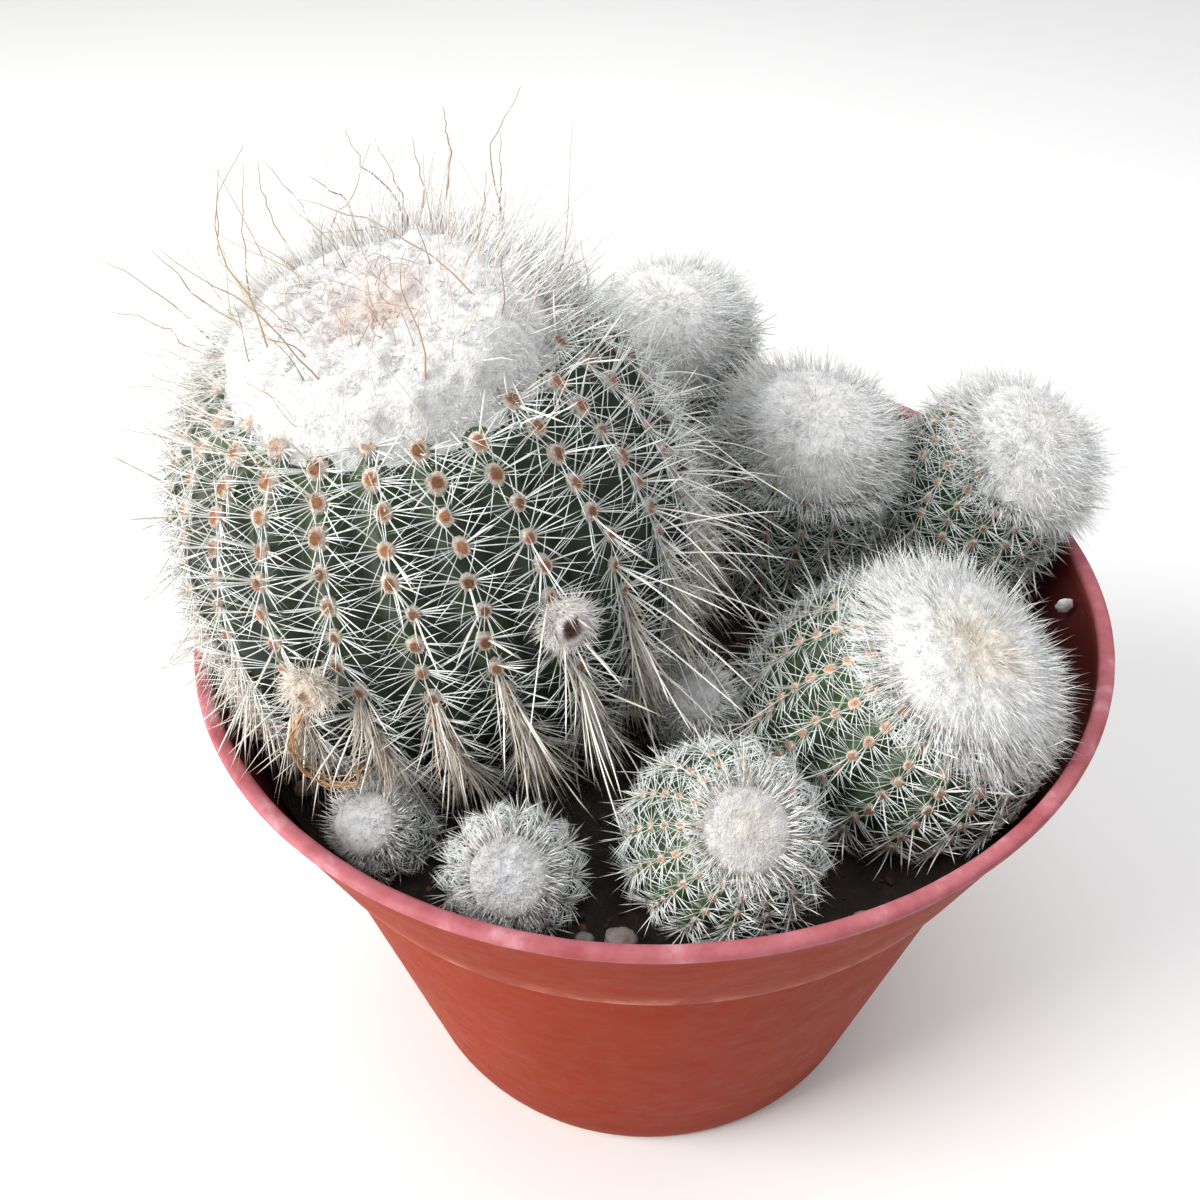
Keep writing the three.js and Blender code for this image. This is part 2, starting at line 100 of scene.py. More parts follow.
def at_arc(s, S):
    """radius, height, t and outward normal (radial, axial) at arc length S from the apex"""
    T, r, h, A = s["tab"]
    t = np.interp(S, A, T)
    rr = np.interp(S, A, r)
    hh = np.interp(S, A, h)
    e = 0.25
    dr = np.interp(S + e, A, r) - np.interp(S - e, A, r)
    dh = np.interp(S + e, A, h) - np.interp(S - e, A, h)
    n = np.stack([-dh, dr], -1)
    n /= np.maximum(1e-9, np.linalg.norm(n, axis=-1, keepdims=True))
    return rr, hh, t, n


def crown_lift(s, r):
    q = r / s["crown"]
    e = np.clip((1.15 - q) / 0.45, 0, 1)
    return s["wool"] * e * e * (3 - 2 * e) - s["dip"] * np.maximum(0, 1 - q * q * 2.6)


def to_world(s, r, h, th):
    r, h, th = np.broadcast_arrays(r, h, th)
    return (s["C"] + h[..., None] * s["a"] + (r * np.cos(th))[..., None] * s["u"] + (r * np.sin(th))[..., None] * s["v"])


def radial(s, th):
    return np.cos(th)[..., None] * s["u"] + np.sin(th)[..., None] * s["v"]


# ------------------------------------------------------------------ mesh helpers
def make_object(name, verts, quads=None, tris=None, material=None, attrs=None, smooth=True, uv=None):
    verts = np.asarray(verts, np.float32).reshape(-1, 3) * MM
    quads = np.zeros((0, 4), np.int32) if quads is None else np.asarray(quads, np.int32).reshape(-1, 4)
    tris = np.zeros((0, 3), np.int32) if tris is None else np.asarray(tris, np.int32).reshape(-1, 3)
    me = bpy.data.meshes.new(name)
    me.vertices.add(len(verts))
    me.vertices.foreach_set("co", verts.ravel())
    nl = quads.size + tris.size
    me.loops.add(nl)
    me.loops.foreach_set("vertex_index", np.concatenate([quads.ravel(), tris.ravel()]).astype(np.int32))
    npoly = len(quads) + len(tris)
    me.polygons.add(npoly)
    starts = np.concatenate([np.arange(len(quads)) * 4, quads.size + np.arange(len(tris)) * 3]).astype(np.int32)
    totals = np.concatenate([np.full(len(quads), 4), np.full(len(tris), 3)]).astype(np.int32)
    me.polygons.foreach_set("loop_start", starts)
    me.polygons.foreach_set("loop_total", totals)
    me.polygons.foreach_set("use_smooth", np.full(npoly, bool(smooth)))
    for key, val in (attrs or {}).items():
        val = np.asarray(val, np.float32)
        if val.ndim == 2:
            a = me.attributes.new(key, "FLOAT_COLOR", "POINT")
            if val.shape[1] == 3:
                val = np.concatenate([val, np.ones((len(val), 1), np.float32)], 1)
            a.data.foreach_set("color", val.ravel())
        else:
            a = me.attributes.new(key, "FLOAT", "POINT")
            a.data.foreach_set("value", val)
    me.update(calc_edges=True)
    me.validate(verbose=False)
    ob = bpy.data.objects.new(name, me)
    scene.collection.objects.link(ob)
    if material:
        me.materials.append(material)
    return ob


def piece(name, slot, *nodes, **kw):
    ob = make_object(name, **kw)
    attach(ob, BODY)
    if nodes:
        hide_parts(*nodes)
    return ob


def grid_quads(rows, cols, wrap=True, off=0, flip=False):
    i = np.arange(rows - 1)[:, None]
    j = np.arange(cols if wrap else cols - 1)[None, :]
    j2 = (j + 1) % cols
    q = np.stack([i * cols + j, i * cols + j2, (i + 1) * cols + j2, (i + 1) * cols + j], -1).reshape(-1, 4) + off
    return q[:, ::-1] if flip else q


def needles(base, d, L, r, bend=None, nseg=2, tip=0.0, base_col=None, tip_col=None, profile=None, twist=None):
    """Three-sided tapering needles with one closed mesh each. Returns verts, quads, tris, colours."""
    N = len(base)
    d = unit(d)
    L = np.broadcast_to(np.asarray(L, float), (N,))
    r = np.broadcast_to(np.asarray(r, float), (N,))
    bend = np.zeros((N, 3)) if bend is None else bend
    ref = np.where(np.abs(d[:, 2:3]) < 0.9, np.array([[0, 0, 1.0]]), np.array([[1.0, 0, 0]]))
    e1 = unit(np.cross(d, ref))
    e2 = np.cross(d, e1)
    us = np.linspace(0, 1, nseg + 1)[:-1] if nseg > 1 else np.array([0.0])
    if nseg == 2:
        us = np.array([0.0, 0.55])
    prof = profile or (lambda u: 1.0 - 0.35 * u)
    rings = []
    for u in us:
        c = base + d * (L * u)[:, None] + bend * u * u
        if twist is not None:
            c = c + twist * math.sin(u * math.pi) * 1.0
        rr = (r * prof(u))[:, None]
        for k in range(3):
            a = 2 * math.pi * k / 3
            rings.append(c + rr * (math.cos(a) * e1 + math.sin(a) * e2))
    tipp = base + d * L[:, None] + bend
    V = np.stack(rings + [tipp], 1)                     # N, 3*len(us)+1, 3
    m = V.shape[1]
    o = (np.arange(N) * m)[:, None, None]
    q = []
    for i in range(len(us) - 1):
        for k in range(3):
            k2 = (k + 1) % 3
            q.append([3 * i + k, 3 * i + k2, 3 * i + 3 + k2, 3 * i + 3 + k])
    last = 3 * (len(us) - 1)
    t = [[last + k, last + (k + 1) % 3, m - 1] for k in range(3)] + [[2, 1, 0]]
    quads = (np.array(q)[None] + o).reshape(-1, 4) if q else np.zeros((0, 4), int)
    tris = (np.array(t)[None] + o).reshape(-1, 3)
    uu = np.concatenate([np.repeat(us, 3), [1.0]])
    if base_col is None:
        base_col = np.ones((N, 3))
    if tip_col is None:
        tip_col = base_col
    col = base_col[:, None, :] * (1 - uu)[None, :, None] + tip_col[:, None, :] * uu[None, :, None]
    return V.reshape(-1, 3), quads, tris, col.reshape(-1, 3)


def needle_mix(rnd, share, base, d, L, r, bend, nseg, base_col, tip_col=None):
    """A share of the needles bowed (nseg rings), the others straight"""
    tip_col = base_col if tip_col is None else tip_col
    b = rnd.random(len(base)) < share
    p = []
    for m, k in ((b, nseg), (~b, 1)):
        if m.any():
            p.append(needles(base[m], unit(d[m] * L[m][:, None] + (0 if k > 1 else 1) * bend[m]), L[m], r[m],
                             bend[m] if k > 1 else None, k, base_col=base_col[m], tip_col=tip_col[m]))
    return merge(p)


def merge(parts):
    vs, qs, ts, cs, off = [], [], [], [], 0
    for v, q, t, c in parts:
        vs.append(v)
        qs.append(np.asarray(q).reshape(-1, 4) + off)
        ts.append(np.asarray(t).reshape(-1, 3) + off)
        cs.append(c)
        off += len(v)
    return dict(verts=np.concatenate(vs), quads=np.concatenate(qs), tris=np.concatenate(ts), attrs={"col": np.concatenate(cs)})


# ------------------------------------------------------------------ materials
def new_material(name):
    m = bpy.data.materials.new(name)
    m.use_nodes = True
    nt = m.node_tree
    return m, nt, nt.nodes["Principled BSDF"]


def node(nt, kind, **inputs):
    n = nt.nodes.new(kind)
    for k, v in inputs.items():
        if k.startswith("_"):
            setattr(n, k[1:], v)
        else:
            n.inputs[k.replace("__", " ")].default_value = v
    return n


def noise_tex(nt, scale, detail=4.0, rough=0.55, coord=None):
    tc = coord or nt.nodes.new("ShaderNodeTexCoord").outputs["Object"]
    n = node(nt, "ShaderNodeTexNoise", Scale=scale, Detail=detail, Roughness=rough)
    nt.links.new(tc, n.inputs["Vector"])
    return n


def ramp(nt, fac, stops):
    r = nt.nodes.new("ShaderNodeValToRGB")
    el = r.color_ramp.elements
    while len(el) < len(stops):
        el.new(0.5)
    for e, (p, c) in zip(el, stops):
        e.position = p
        e.color = (*c, 1) if len(c) == 3 else c
    nt.links.new(fac, r.inputs["Fac"])
    return r


def mix(nt, kind, fac, a, b):
    m = nt.nodes.new("ShaderNodeMix")
    m.data_type = "RGBA"
    m.blend_type = kind
    if isinstance(fac, (int, float)):
        m.inputs[0].default_value = fac
    else:
        nt.links.new(fac, m.inputs[0])
    for sock, val in ((m.inputs[6], a), (m.inputs[7], b)):
        if isinstance(val, (tuple, list)):
            sock.default_value = (*val, 1) if len(val) == 3 else val
        else:
            nt.links.new(val, sock)
    return m.outputs[2]


def math_node(nt, op, a, b=None, clamp=False):
    m = nt.nodes.new("ShaderNodeMath")
    m.operation = op
    m.use_clamp = clamp
    for i, val in enumerate([a] if b is None else [a, b]):
        if isinstance(val, (int, float)):
            m.inputs[i].default_value = val
        else:
            nt.links.new(val, m.inputs[i])
    return m.outputs[0]


def bump(nt, height, strength, distance, bsdf, normal=None):
    b = node(nt, "ShaderNodeBump", Strength=strength, Distance=distance)
    nt.links.new(height, b.inputs["Height"])
    if normal is not None:
        nt.links.new(normal, b.inputs["Normal"])
    nt.links.new(b.outputs[0], bsdf.inputs["Normal"])
    return b.outputs[0]


def attr(nt, name):
    a = nt.nodes.new("ShaderNodeAttribute")
    a.attribute_name = name
    return a


def flesh_material(name, dark, mid, light):
    m, nt, b = new_material(name)
    crest = attr(nt, "crest").outputs["Fac"]
    young = attr(nt, "young").outputs["Fac"]
    n1 = noise_tex(nt, 90.0, 5)
    n2 = noise_tex(nt, 1400.0, 3)
    # painted shade: the crest mask colours the rib valleys and the notches between tubercles darker than the crests
    base = ramp(nt, crest, [(0.0, dark), (0.45, tuple(0.5 * (p + q) for p, q in zip(dark, mid))), (1.0, mid)])
    c = mix(nt, "MIX", young, base.outputs[0], light)
    shade = ramp(nt, n1.outputs["Fac"], [(0.3, (0.72, 0.74, 0.68)), (0.7, (1.22, 1.18, 1.05))])
    c = mix(nt, "MULTIPLY", 1.0, c, shade.outputs[0])
    fleck = ramp(nt, n2.outputs["Fac"], [(0.60, (0, 0, 0)), (0.72, (1, 1, 1))])
    f = math_node(nt, "MULTIPLY", fleck.outputs[0], 0.22)
    c = mix(nt, "MIX", f, c, tuple(min(1, 2.1 * x + 0.02) for x in mid))
    cork = attr(nt, "cork").outputs["Fac"]
    c = mix(nt, "MIX", cork, c, (0.16, 0.105, 0.06))
    nt.links.new(c, b.inputs["Base Color"])
    rr = ramp(nt, n1.outputs["Fac"], [(0.3, (0.42,) * 3), (0.7, (0.6,) * 3)])
    nt.links.new(rr.outputs[0], b.inputs["Roughness"])
    b.inputs["Subsurface Weight"].default_value = 0.0
    bump(nt, n2.outputs["Fac"], 0.25, 0.0002, b)
    return m


def spine_material(name, rough=0.36):
    m, nt, b = new_material(name)
    col = attr(nt, "col").outputs["Color"]
    n1 = noise_tex(nt, 260.0, 2)
    shade = ramp(nt, n1.outputs["Fac"], [(0.3, (0.90, 0.90, 0.89)), (0.7, (1.06, 1.06, 1.06))])
    c = mix(nt, "MULTIPLY", 1.0, col, shade.outputs[0])
    nt.links.new(c, b.inputs["Base Color"])
    b.inputs["Roughness"].default_value = rough
    b.inputs["Specular IOR Level"].default_value = 0.45
    return m


def wool_material(name, tint, streak=0.0):
    m, nt, b = new_material(name)
    col = attr(nt, "col").outputs["Color"]
    n1 = noise_tex(nt, 700.0, 5, 0.65)
    n2 = noise_tex(nt, 2600.0, 3, 0.6)
    shade = ramp(nt, n1.outputs["Fac"], [(0.34, tint), (0.60, (1.0, 1.0, 1.0))])
    c = mix(nt, "MULTIPLY", 1.0, col, shade.outputs[0])
    nt.links.new(c, b.inputs["Base Color"])
    b.inputs["Roughness"].default_value = 0.92
    b.inputs["Sheen Weight"].default_value = 0.35
    b.inputs["Sheen Roughness"].default_value = 0.6
    b.inputs["Specular IOR Level"].default_value = 0.15
    h = math_node(nt, "ADD", n1.outputs["Fac"], math_node(nt, "MULTIPLY", n2.outputs["Fac"], 0.5))
    bump(nt, h, 0.9, 0.0006, b)
    return m


MAT_SPINE = spine_material("spine_glassy", 0.34)
MAT_CENTRAL = spine_material("spine_central", 0.42)
MAT_HAIR = spine_material("wool_hair", 0.6)
MAT_WOOL = wool_material("wool_mat", (0.70, 0.70, 0.71))
MAT_FLESH = flesh_material("flesh_main", (0.0020, 0.0062, 0.0016), (0.0100, 0.0290, 0.0060), (0.05, 0.10, 0.03))
MAT_FLESH_YOUNG = flesh_material("flesh_young", (0.0070, 0.020, 0.0050), (0.038, 0.088, 0.022), (0.09, 0.16, 0.06))
MAT_FLESH_PALE = flesh_material("flesh_pale", (0.10, 0.15, 0.07), (0.25, 0.33, 0.19), (0.4, 0.45, 0.3))


def felt_material():
    m, nt, b = new_material("areole_felt")
    col = attr(nt, "col").outputs["Color"]
    n1 = noise_tex(nt, 2200.0, 4, 0.6)
    shade = ramp(nt, n1.outputs["Fac"], [(0.3, (0.55, 0.5, 0.46)), (0.68, (1.15, 1.12, 1.1))])
    c = mix(nt, "MULTIPLY", 1.0, col, shade.outputs[0])
    nt.links.new(c, b.inputs["Base Color"])
    b.inputs["Roughness"].default_value = 0.95
    b.inputs["Sheen Weight"].default_value = 0.25
    b.inputs["Specular IOR Level"].default_value = 0.1
    bump(nt, n1.outputs["Fac"], 1.0, 0.0003, b)
    return m


MAT_FELT = felt_material()

# ------------------------------------------------------------------ clearances
def pot_inner(z):
    cb = POT_H - COLLAR_H
    up = COLLAR_BOTTOM_R + (RIM_R - COLLAR_BOTTOM_R) * (z - cb) / COLLAR_H - LIP_W
    dn = BASE_R + (BODY_TOP_R - BASE_R) * z / cb - WALL
    return np.where(z > cb + 1, up, dn)


def inside_stem(s, p, grow=0.0):
    q = p - s["C"]
    h = q @ s["a"]
    rr = np.hypot(q @ s["u"], q @ s["v"])
    t = np.where(h >= 0, h / (s["up"] + grow), h / (s["dn"] + grow))
    n = np.where(h >= 0, s["n"], s["nb"])
    return np.abs(t) ** n + (rr / (s["R"] + grow)) ** n < 1


def keep_clear(owner, base, d, L, bend=None, floor_gap=0.4):
    """Turns needles away from the pot wall and the mix, and drops those that still run into something."""
    d = unit(d)
    L = np.array(L, float)
    bend = np.zeros_like(base) if bend is None else bend

    def pts(u):
        return base + d * (L * u)[:, None] + bend * u * u

    def bad_pot():
        b = np.zeros(len(base), bool)
        for u in (0.35, 0.6, 0.8, 1.0):
            p = pts(u)
            b |= (p[:, 2] < POT_H + 0.25) & (np.hypot(p[:, 0], p[:, 1]) > pot_inner(p[:, 2]) - 0.3)
        return b

    def bad_soil():
        return (pts(1.0)[:, 2] < SOIL_TOP + floor_gap) | (pts(0.6)[:, 2] < SOIL_TOP + floor_gap)

    for _ in range(11):
        b = bad_pot()
        if not b.any():
            break
        rad = base.copy()
        rad[:, 2] = 0
        rad = unit(rad)
        d[b] = unit(d[b] + np.array([0, 0, 0.30]) - 0.12 * rad[b])
        L[b] *= 0.97
    for _ in range(4):
        b = bad_soil()
        d[b] = unit(d[b] + np.array([0, 0, 0.25]))
        L[b] *= 0.9
    ok = ~(bad_pot() | bad_soil())
    for name, s in STEMS.items():
        if name == owner:
            continue
        ok &= ~(inside_stem(s, pts(1.0), -1.6) | inside_stem(s, pts(0.5), -0.8))
    return d, L, ok


# ------------------------------------------------------------------ areoles
def areoles(name, s):
    rnd = np.random.default_rng(1000 + NAMES.index(name))
    T, r, h, A = s["tab"]
    rows = []
    s_min = np.interp(s["crown"] * 0.97, r[: len(r) // 2], A[: len(r) // 2])
    wx, wy = WOOL_SHIFT.get(name, (0.0, 0.0))
    wc_u, wc_v = (np.array([wx, wy, 0]) @ s["u"], np.array([wx, wy, 0]) @ s["v"])
    for k in range(s["ribs"]):
        par = k % 2
        first = s["s0"] + (0.0 if par == 0 else -0.5 * s["sp"])
        j0 = math.ceil((s_min - first - 5) / s["sp"])
        for j in range(j0, j0 + 42):
            S = first + j * s["sp"]
            if S > A[-1] - 2:
                break
            rows.append((k, S, S - s_min))
    rows = np.array(rows)
    th0 = np.radians(s["rib0"]) + rows[:, 0] * 2 * np.pi / s["ribs"]
    S = rows[:, 1] + rnd.normal(0, 0.10, len(rows)) * s["sp"] / 4
    th = th0 + rnd.normal(0, 0.012, len(rows))
    rr, hh, t, n2 = at_arc(s, S)
    er = radial(s, th)
    P = to_world(s, rr, hh, th)
    N = unit(n2[:, :1] * er + n2[:, 1:] * s["a"])
    ET = np.cross(s["a"], er)
    ES = np.cross(ET, N)                 # down the rib, away from the crown
    ES = np.where((ES @ s["a"])[:, None] > 0, -ES, ES)
    keep = P[:, 2] > SOIL_TOP + 0.6
    keep &= (np.hypot(rr * np.cos(th) - wc_u, rr * np.sin(th) - wc_v) > s["crown"] * 1.01) | (hh < 0.45 * s["up"])
    for other, o in STEMS.items():
        if other != name:
            keep &= ~inside_stem(o, P, 0.2)
    smax = (S[keep] - s_min).max()
    age = np.maximum(S - s_min, 0) / smax
    return dict(P=P[keep], N=N[keep], ET=ET[keep], ES=ES[keep], age=age[keep], rib=rows[keep, 0].astype(int), S=S[keep])


AREOLES = {name: areoles(name, s) for name, s in STEMS.items()}


# ------------------------------------------------------------------ flesh
def make_flesh(name, s, mat):
    cols = s["ribs"] * s["m"]
    T, r, h, A = s["tab"]
    Smax = A[-1]
    Sr = np.linspace(0.0, Smax, s["rings"] + 1)[1:-1]
    rr, hh, t, n2 = at_arc(s, Sr)
    th = np.radians(s["rib0"]) + np.arange(cols) * 2 * np.pi / cols
    ph = (th - np.radians(s["rib0"])) * s["ribs"]
    k = np.round(ph / (2 * np.pi)).astype(int)
    crest = (0.5 + 0.5 * np.cos(ph)) ** 0.62
    par = (k % 2).astype(float)
    fade = np.clip((0.985 - t) / 0.25, 0, 1) * np.clip((t + 1) / 0.5, 0, 1)
    fade = fade * np.minimum(1, rr / (0.5 * s["R"]))
    phase = (Sr[:, None] - s["s0"] + 0.5 * s["sp"] * par[None, :]) / s["sp"]
    tub = 0.5 + 0.5 * np.cos(2 * np.pi * phase)
    notch = 0.30 * s["depth"]
    inset = s["depth"] * (1 - crest)[None, :] + notch * (1 - tub) * crest[None, :] ** 2
    inset = inset * fade[:, None]
    # a slight noise wobble in the depth of each rib
    ww = np.array([[noise.noise(Vector((a * 0.21, b * 0.9, 3.1 * NAMES.index(name)))) for b in np.cos(th[:: s["m"]])] for a in Sr])
    ww = np.repeat(ww, s["m"], axis=1)[:, :cols]
    inset = inset + 0.10 * ww * fade[:, None]
    R = rr[:, None] - inset * (-1) * (-1)
    sink = 2.2 * min(1.0, s["R"] / 30) * np.clip(1.1 - (rr / s["crown"]) ** 2, 0, 1)[:, None]
    P = to_world(s, R, hh[:, None] - sink + 0 * R, th[None, :] + 0 * R)
    verts = np.concatenate([P.reshape(-1, 3), [to_world(s, 0.0, at_arc(s, np.array([0.0]))[1][0] - 2.4 * min(1.0, s["R"] / 30), 0.0)],
                            [to_world(s, 0.0, -s["dn"] * 1.0, 0.0)]])
    rows = len(Sr)
    quads = grid_quads(rows, cols, True, flip=True)
    top, bot = rows * cols, rows * cols + 1
    j = np.arange(cols)
    j2 = (j + 1) % cols
    tris = np.concatenate([np.stack([np.full(cols, top), j, j2], 1),
                           np.stack([np.full(cols, bot), (rows - 1) * cols + j2, (rows - 1) * cols + j], 1)])
    # painted shade mask: darkest in the rib valleys and between the tubercles
    rib_painted_shade = (crest[None, :] * (0.55 + 0.45 * tub)).astype(np.float32)
    zz = P[..., 2]
    sc = np.interp(s["crown"], r[: len(r) // 2], A[: len(r) // 2])
    young = np.clip(1 - (Sr - sc + 1.0) / (0.28 * (Smax * 0.55)), 0, 1)[:, None] * np.ones(cols)
    cork = np.clip((SOIL_TOP + 5 - zz) / 6, 0, 1) * 0.85
    at = dict(crest=np.append(rib_painted_shade.ravel(), [1, 0]), young=np.append(young.ravel(), [1, 0]), cork=np.append(cork.ravel(), [0, 1]))
    return piece(name + "_skin", "flesh", name, verts=verts, quads=quads, tris=tris, material=mat, attrs=at)


# ------------------------------------------------------------------ felt
def make_felt(name, s, size, centre_col, edge_col, K=12):
    """Every areole: a low woolly cushion with a darker felt centre."""
    a = AREOLES[name]
    rnd = np.random.default_rng(2000 + NAMES.index(name))
    N = len(a["P"])
    seg, rows = 9, 3
    w = size * (0.9 + 0.25 * rnd.random(N)) * (1.25 - 0.35 * np.clip(a["age"] * 3, 0, 1))
    ln = w * (1.15 + 0.15 * rnd.random(N))
    hgt = w * 0.62
    ring = []
    rad = [1.0, 0.84, 0.46]
    hts = [-0.45, 0.55, 0.90]
    for i in range(rows):
        for k in range(seg):
            an = 2 * math.pi * k / seg + 0.35 * i
            j = 1 + 0.28 * (rnd.random(N) - 0.5)
            ring.append(a["P"] + (w * rad[i] * j * math.cos(an))[:, None] * a["ET"] + (ln * rad[i] * j * math.sin(an))[:, None] * a["ES"]
                        + (hgt * (hts[i] + 0.18 * (rnd.random(N) - 0.5)))[:, None] * a["N"])
    ring.append(a["P"] + (hgt * 0.72)[:, None] * a["N"])
    ring.append(a["P"] - (hgt * 0.9)[:, None] * a["N"])
    V = np.stack(ring, 1)
    m = V.shape[1]
    f = []
    for i in range(rows - 1):
        for k in range(seg):
            k2 = (k + 1) % seg
            f.append([i * seg + k, i * seg + k2, (i + 1) * seg + k2, (i + 1) * seg + k])
    t = [[(rows - 1) * seg + k, (rows - 1) * seg + (k + 1) % seg, m - 2] for k in range(seg)]
    t += [[(k + 1) % seg, k, m - 1] for k in range(seg)]
    o = (np.arange(N) * m)[:, None, None]
    quads = (np.array(f)[None] + o).reshape(-1, 4)
    tris = (np.array(t)[None] + o).reshape(-1, 3)
    young = 0.8 * np.clip(1 - a["age"] * 13, 0, 1)[:, None]
    cc = np.array(centre_col)[None] * (0.62 + 0.6 * rnd.random((N, 1)))
    cc = cc * (1 - young) + np.array(edge_col)[None] * young
    ee = np.array(edge_col)[None] * (0.85 + 0.2 * rnd.random((N, 1)))
    col = np.concatenate([np.repeat(ee[:, None], seg, 1), np.repeat((0.92 * ee + 0.08 * cc)[:, None], seg, 1),
                          np.repeat(cc[:, None], seg, 1), cc[:, None], cc[:, None]], 1)
    parts = [(V.reshape(-1, 3), quads, tris, col.reshape(-1, 3))]
    # short wool round every areole
    idx = np.repeat(np.arange(N), K)
    an = rnd.random(len(idx)) * 2 * np.pi
    dirt = np.cos(an)[:, None] * a["ET"][idx] + np.sin(an)[:, None] * a["ES"][idx]
    base = a["P"][idx] + dirt * (w[idx] * 0.55)[:, None] + a["N"][idx] * (hgt[idx] * 0.2)[:, None]
    d = unit(dirt * (0.5 + 0.7 * rnd.random(len(idx)))[:, None] + a["N"][idx] * 0.75)
    L = w[idx] * (0.7 + 0.7 * rnd.random(len(idx)))
    hc = (0.5 * np.array(edge_col)[None] + 0.42) * (0.9 + 0.15 * rnd.random((len(idx), 1)))
    parts.append(needles(base, d, L, 0.085 + 0.0 * L, nseg=1, base_col=hc))
    g = merge(parts)
    return piece(name + "_areoles", "areole", material=MAT_FELT, **g)


# ------------------------------------------------------------------ spines
WHITE = np.array([0.92, 0.975, 0.975])
CREAM = np.array([0.86, 0.79, 0.68])
TAN = np.array([0.56, 0.42, 0.29])
BROWN = np.array([0.30, 0.15, 0.075])


def make_spines(name, s, n_rad, len_rad, r_rad, n_cen, len_cen, r_cen, aged=0.0, share=0.45):
    a = AREOLES[name]
    rnd = np.random.default_rng(3000 + NAMES.index(name))
    N = len(a["P"])
    age = a["age"]
    # ---- radials, lying out sideways over the neighbouring ribs
    idx = np.repeat(np.arange(N), n_rad)
    M = len(idx)
    slot_no = np.tile(np.arange(n_rad), N)
    ang = (slot_no + 0.8 * rnd.random(M)) / n_rad * 2 * np.pi
    # bunch them towards the two sides
    ang = ang + 0.30 * np.sin(2 * ang) * -1.0
    side = np.cos(ang)
    down = np.sin(ang)
    up_young = (down < 0) & (age[idx] < 0.13)
    down = np.where(up_young, -0.8 * down, down)
    old = np.clip((age[idx] - 0.62) / 0.38, 0, 1) * aged
    young = np.clip(1 - age[idx] / 0.16, 0, 1)
    elev = np.radians(13 + 24 * rnd.random(M) ** 1.3 + 10 * young * rnd.random(M))
    tang = side[:, None] * a["ET"][idx] + down[:, None] * a["ES"][idx]
    d = unit(np.cos(elev)[:, None] * tang + np.sin(elev)[:, None] * a["N"][idx])
    down_w = np.array([0, 0, -1.0])
    d = unit(d + old[:, None] * (1.1 * down_w + 0.15 * a["N"][idx]) + 0.22 * np.clip(age[idx] - 0.3, 0, 1)[:, None] * a["ES"][idx])
    L = (len_rad[0] + (len_rad[1] - len_rad[0]) * rnd.random(M)) * (0.72 + 0.28 * np.abs(side)) * (1 + 0.25 * old) * (1 - 0.2 * young)
    base = a["P"][idx] + tang * (0.25 + 0.25 * rnd.random(M))[:, None] * min(1.0, s["R"] / 20) - a["N"][idx] * 0.15
    bend = a["N"][idx] * (L * (rnd.random(M) - 0.62) * 0.16)[:, None] + rnd.normal(0, 0.022, (M, 3)) * L[:, None]
    bend += old[:, None] * down_w * (0.22 * L)[:, None]
    d, L, ok = keep_clear(name, base, d, L, bend)
    tone = rnd.random((M, 1))
    bc = WHITE * (0.86 + 0.18 * tone)
    bc = bc * (1 - 0.75 * old[:, None]) + (0.5 * CREAM + 0.5 * TAN) * 0.75 * old[:, None] * (0.8 + 0.5 * tone)
    tc = bc * 1.04
    r = r_rad * (0.75 + 0.5 * rnd.random(M))
    g = needle_mix(rnd, share, base[ok], d[ok], L[ok], r[ok], bend[ok], 2, bc[ok], tc[ok])
    piece(name + "_radials", "spine", material=MAT_SPINE, **g)
    # ---- centrals, stouter and standing out
    idx = np.repeat(np.arange(N), n_cen)
    M = len(idx)
    ang = rnd.random(M) * 2 * np.pi
    old = np.clip((age[idx] - 0.45) / 0.4, 0, 1)
    elev = np.radians(38 + 42 * rnd.random(M))
    tang = np.cos(ang)[:, None] * a["ET"][idx] + np.sin(ang)[:, None] * a["ES"][idx]
    d = unit(np.cos(elev)[:, None] * tang + np.sin(elev)[:, None] * a["N"][idx]
             + 0.75 * np.clip(age[idx] - 0.15, 0, 0.8)[:, None] * a["ES"][idx] + 0.45 * (old * aged)[:, None] * down_w)
    L = (len_cen[0] + (len_cen[1] - len_cen[0]) * rnd.random(M) ** 1.6) * (0.72 + 0.55 * old)
    base = a["P"][idx] + tang * 0.25 - a["N"][idx] * 0.2
    bend = rnd.normal(0, 0.05, (M, 3)) * L[:, None] + down_w * (0.10 * L * old)[:, None]
    d, L, ok = keep_clear(name, base, d, L, bend)
    ok &= (rnd.random(M) < 0.42 + 0.58 * old) & (age[idx] > 0.05)
    tone = rnd.random((M, 1))
    bc = (0.55 * WHITE + 0.45 * CREAM) * (0.92 + 0.14 * tone)
    bc = bc * (1 - 0.5 * (old * aged)[:, None]) + (CREAM * 0.8 + 0.1 * TAN) * 0.5 * (old * aged)[:, None]
    brown = (rnd.random(M) < 0.10)[:, None]
    tc = np.where(brown, 0.5 * CREAM + 0.4 * TAN, bc * 1.03)
    r = r_cen * (0.8 + 0.5 * rnd.random(M))
    v, q, t, c = needles(base[ok], d[ok], L[ok], r[ok], bend[ok], 3, base_col=bc[ok], tip_col=tc[ok], profile=lambda u: 1.0 - 0.3 * u)
    piece(name + "_centrals", "spine", verts=v, quads=q, tris=t, material=MAT_CENTRAL, attrs={"col": c})


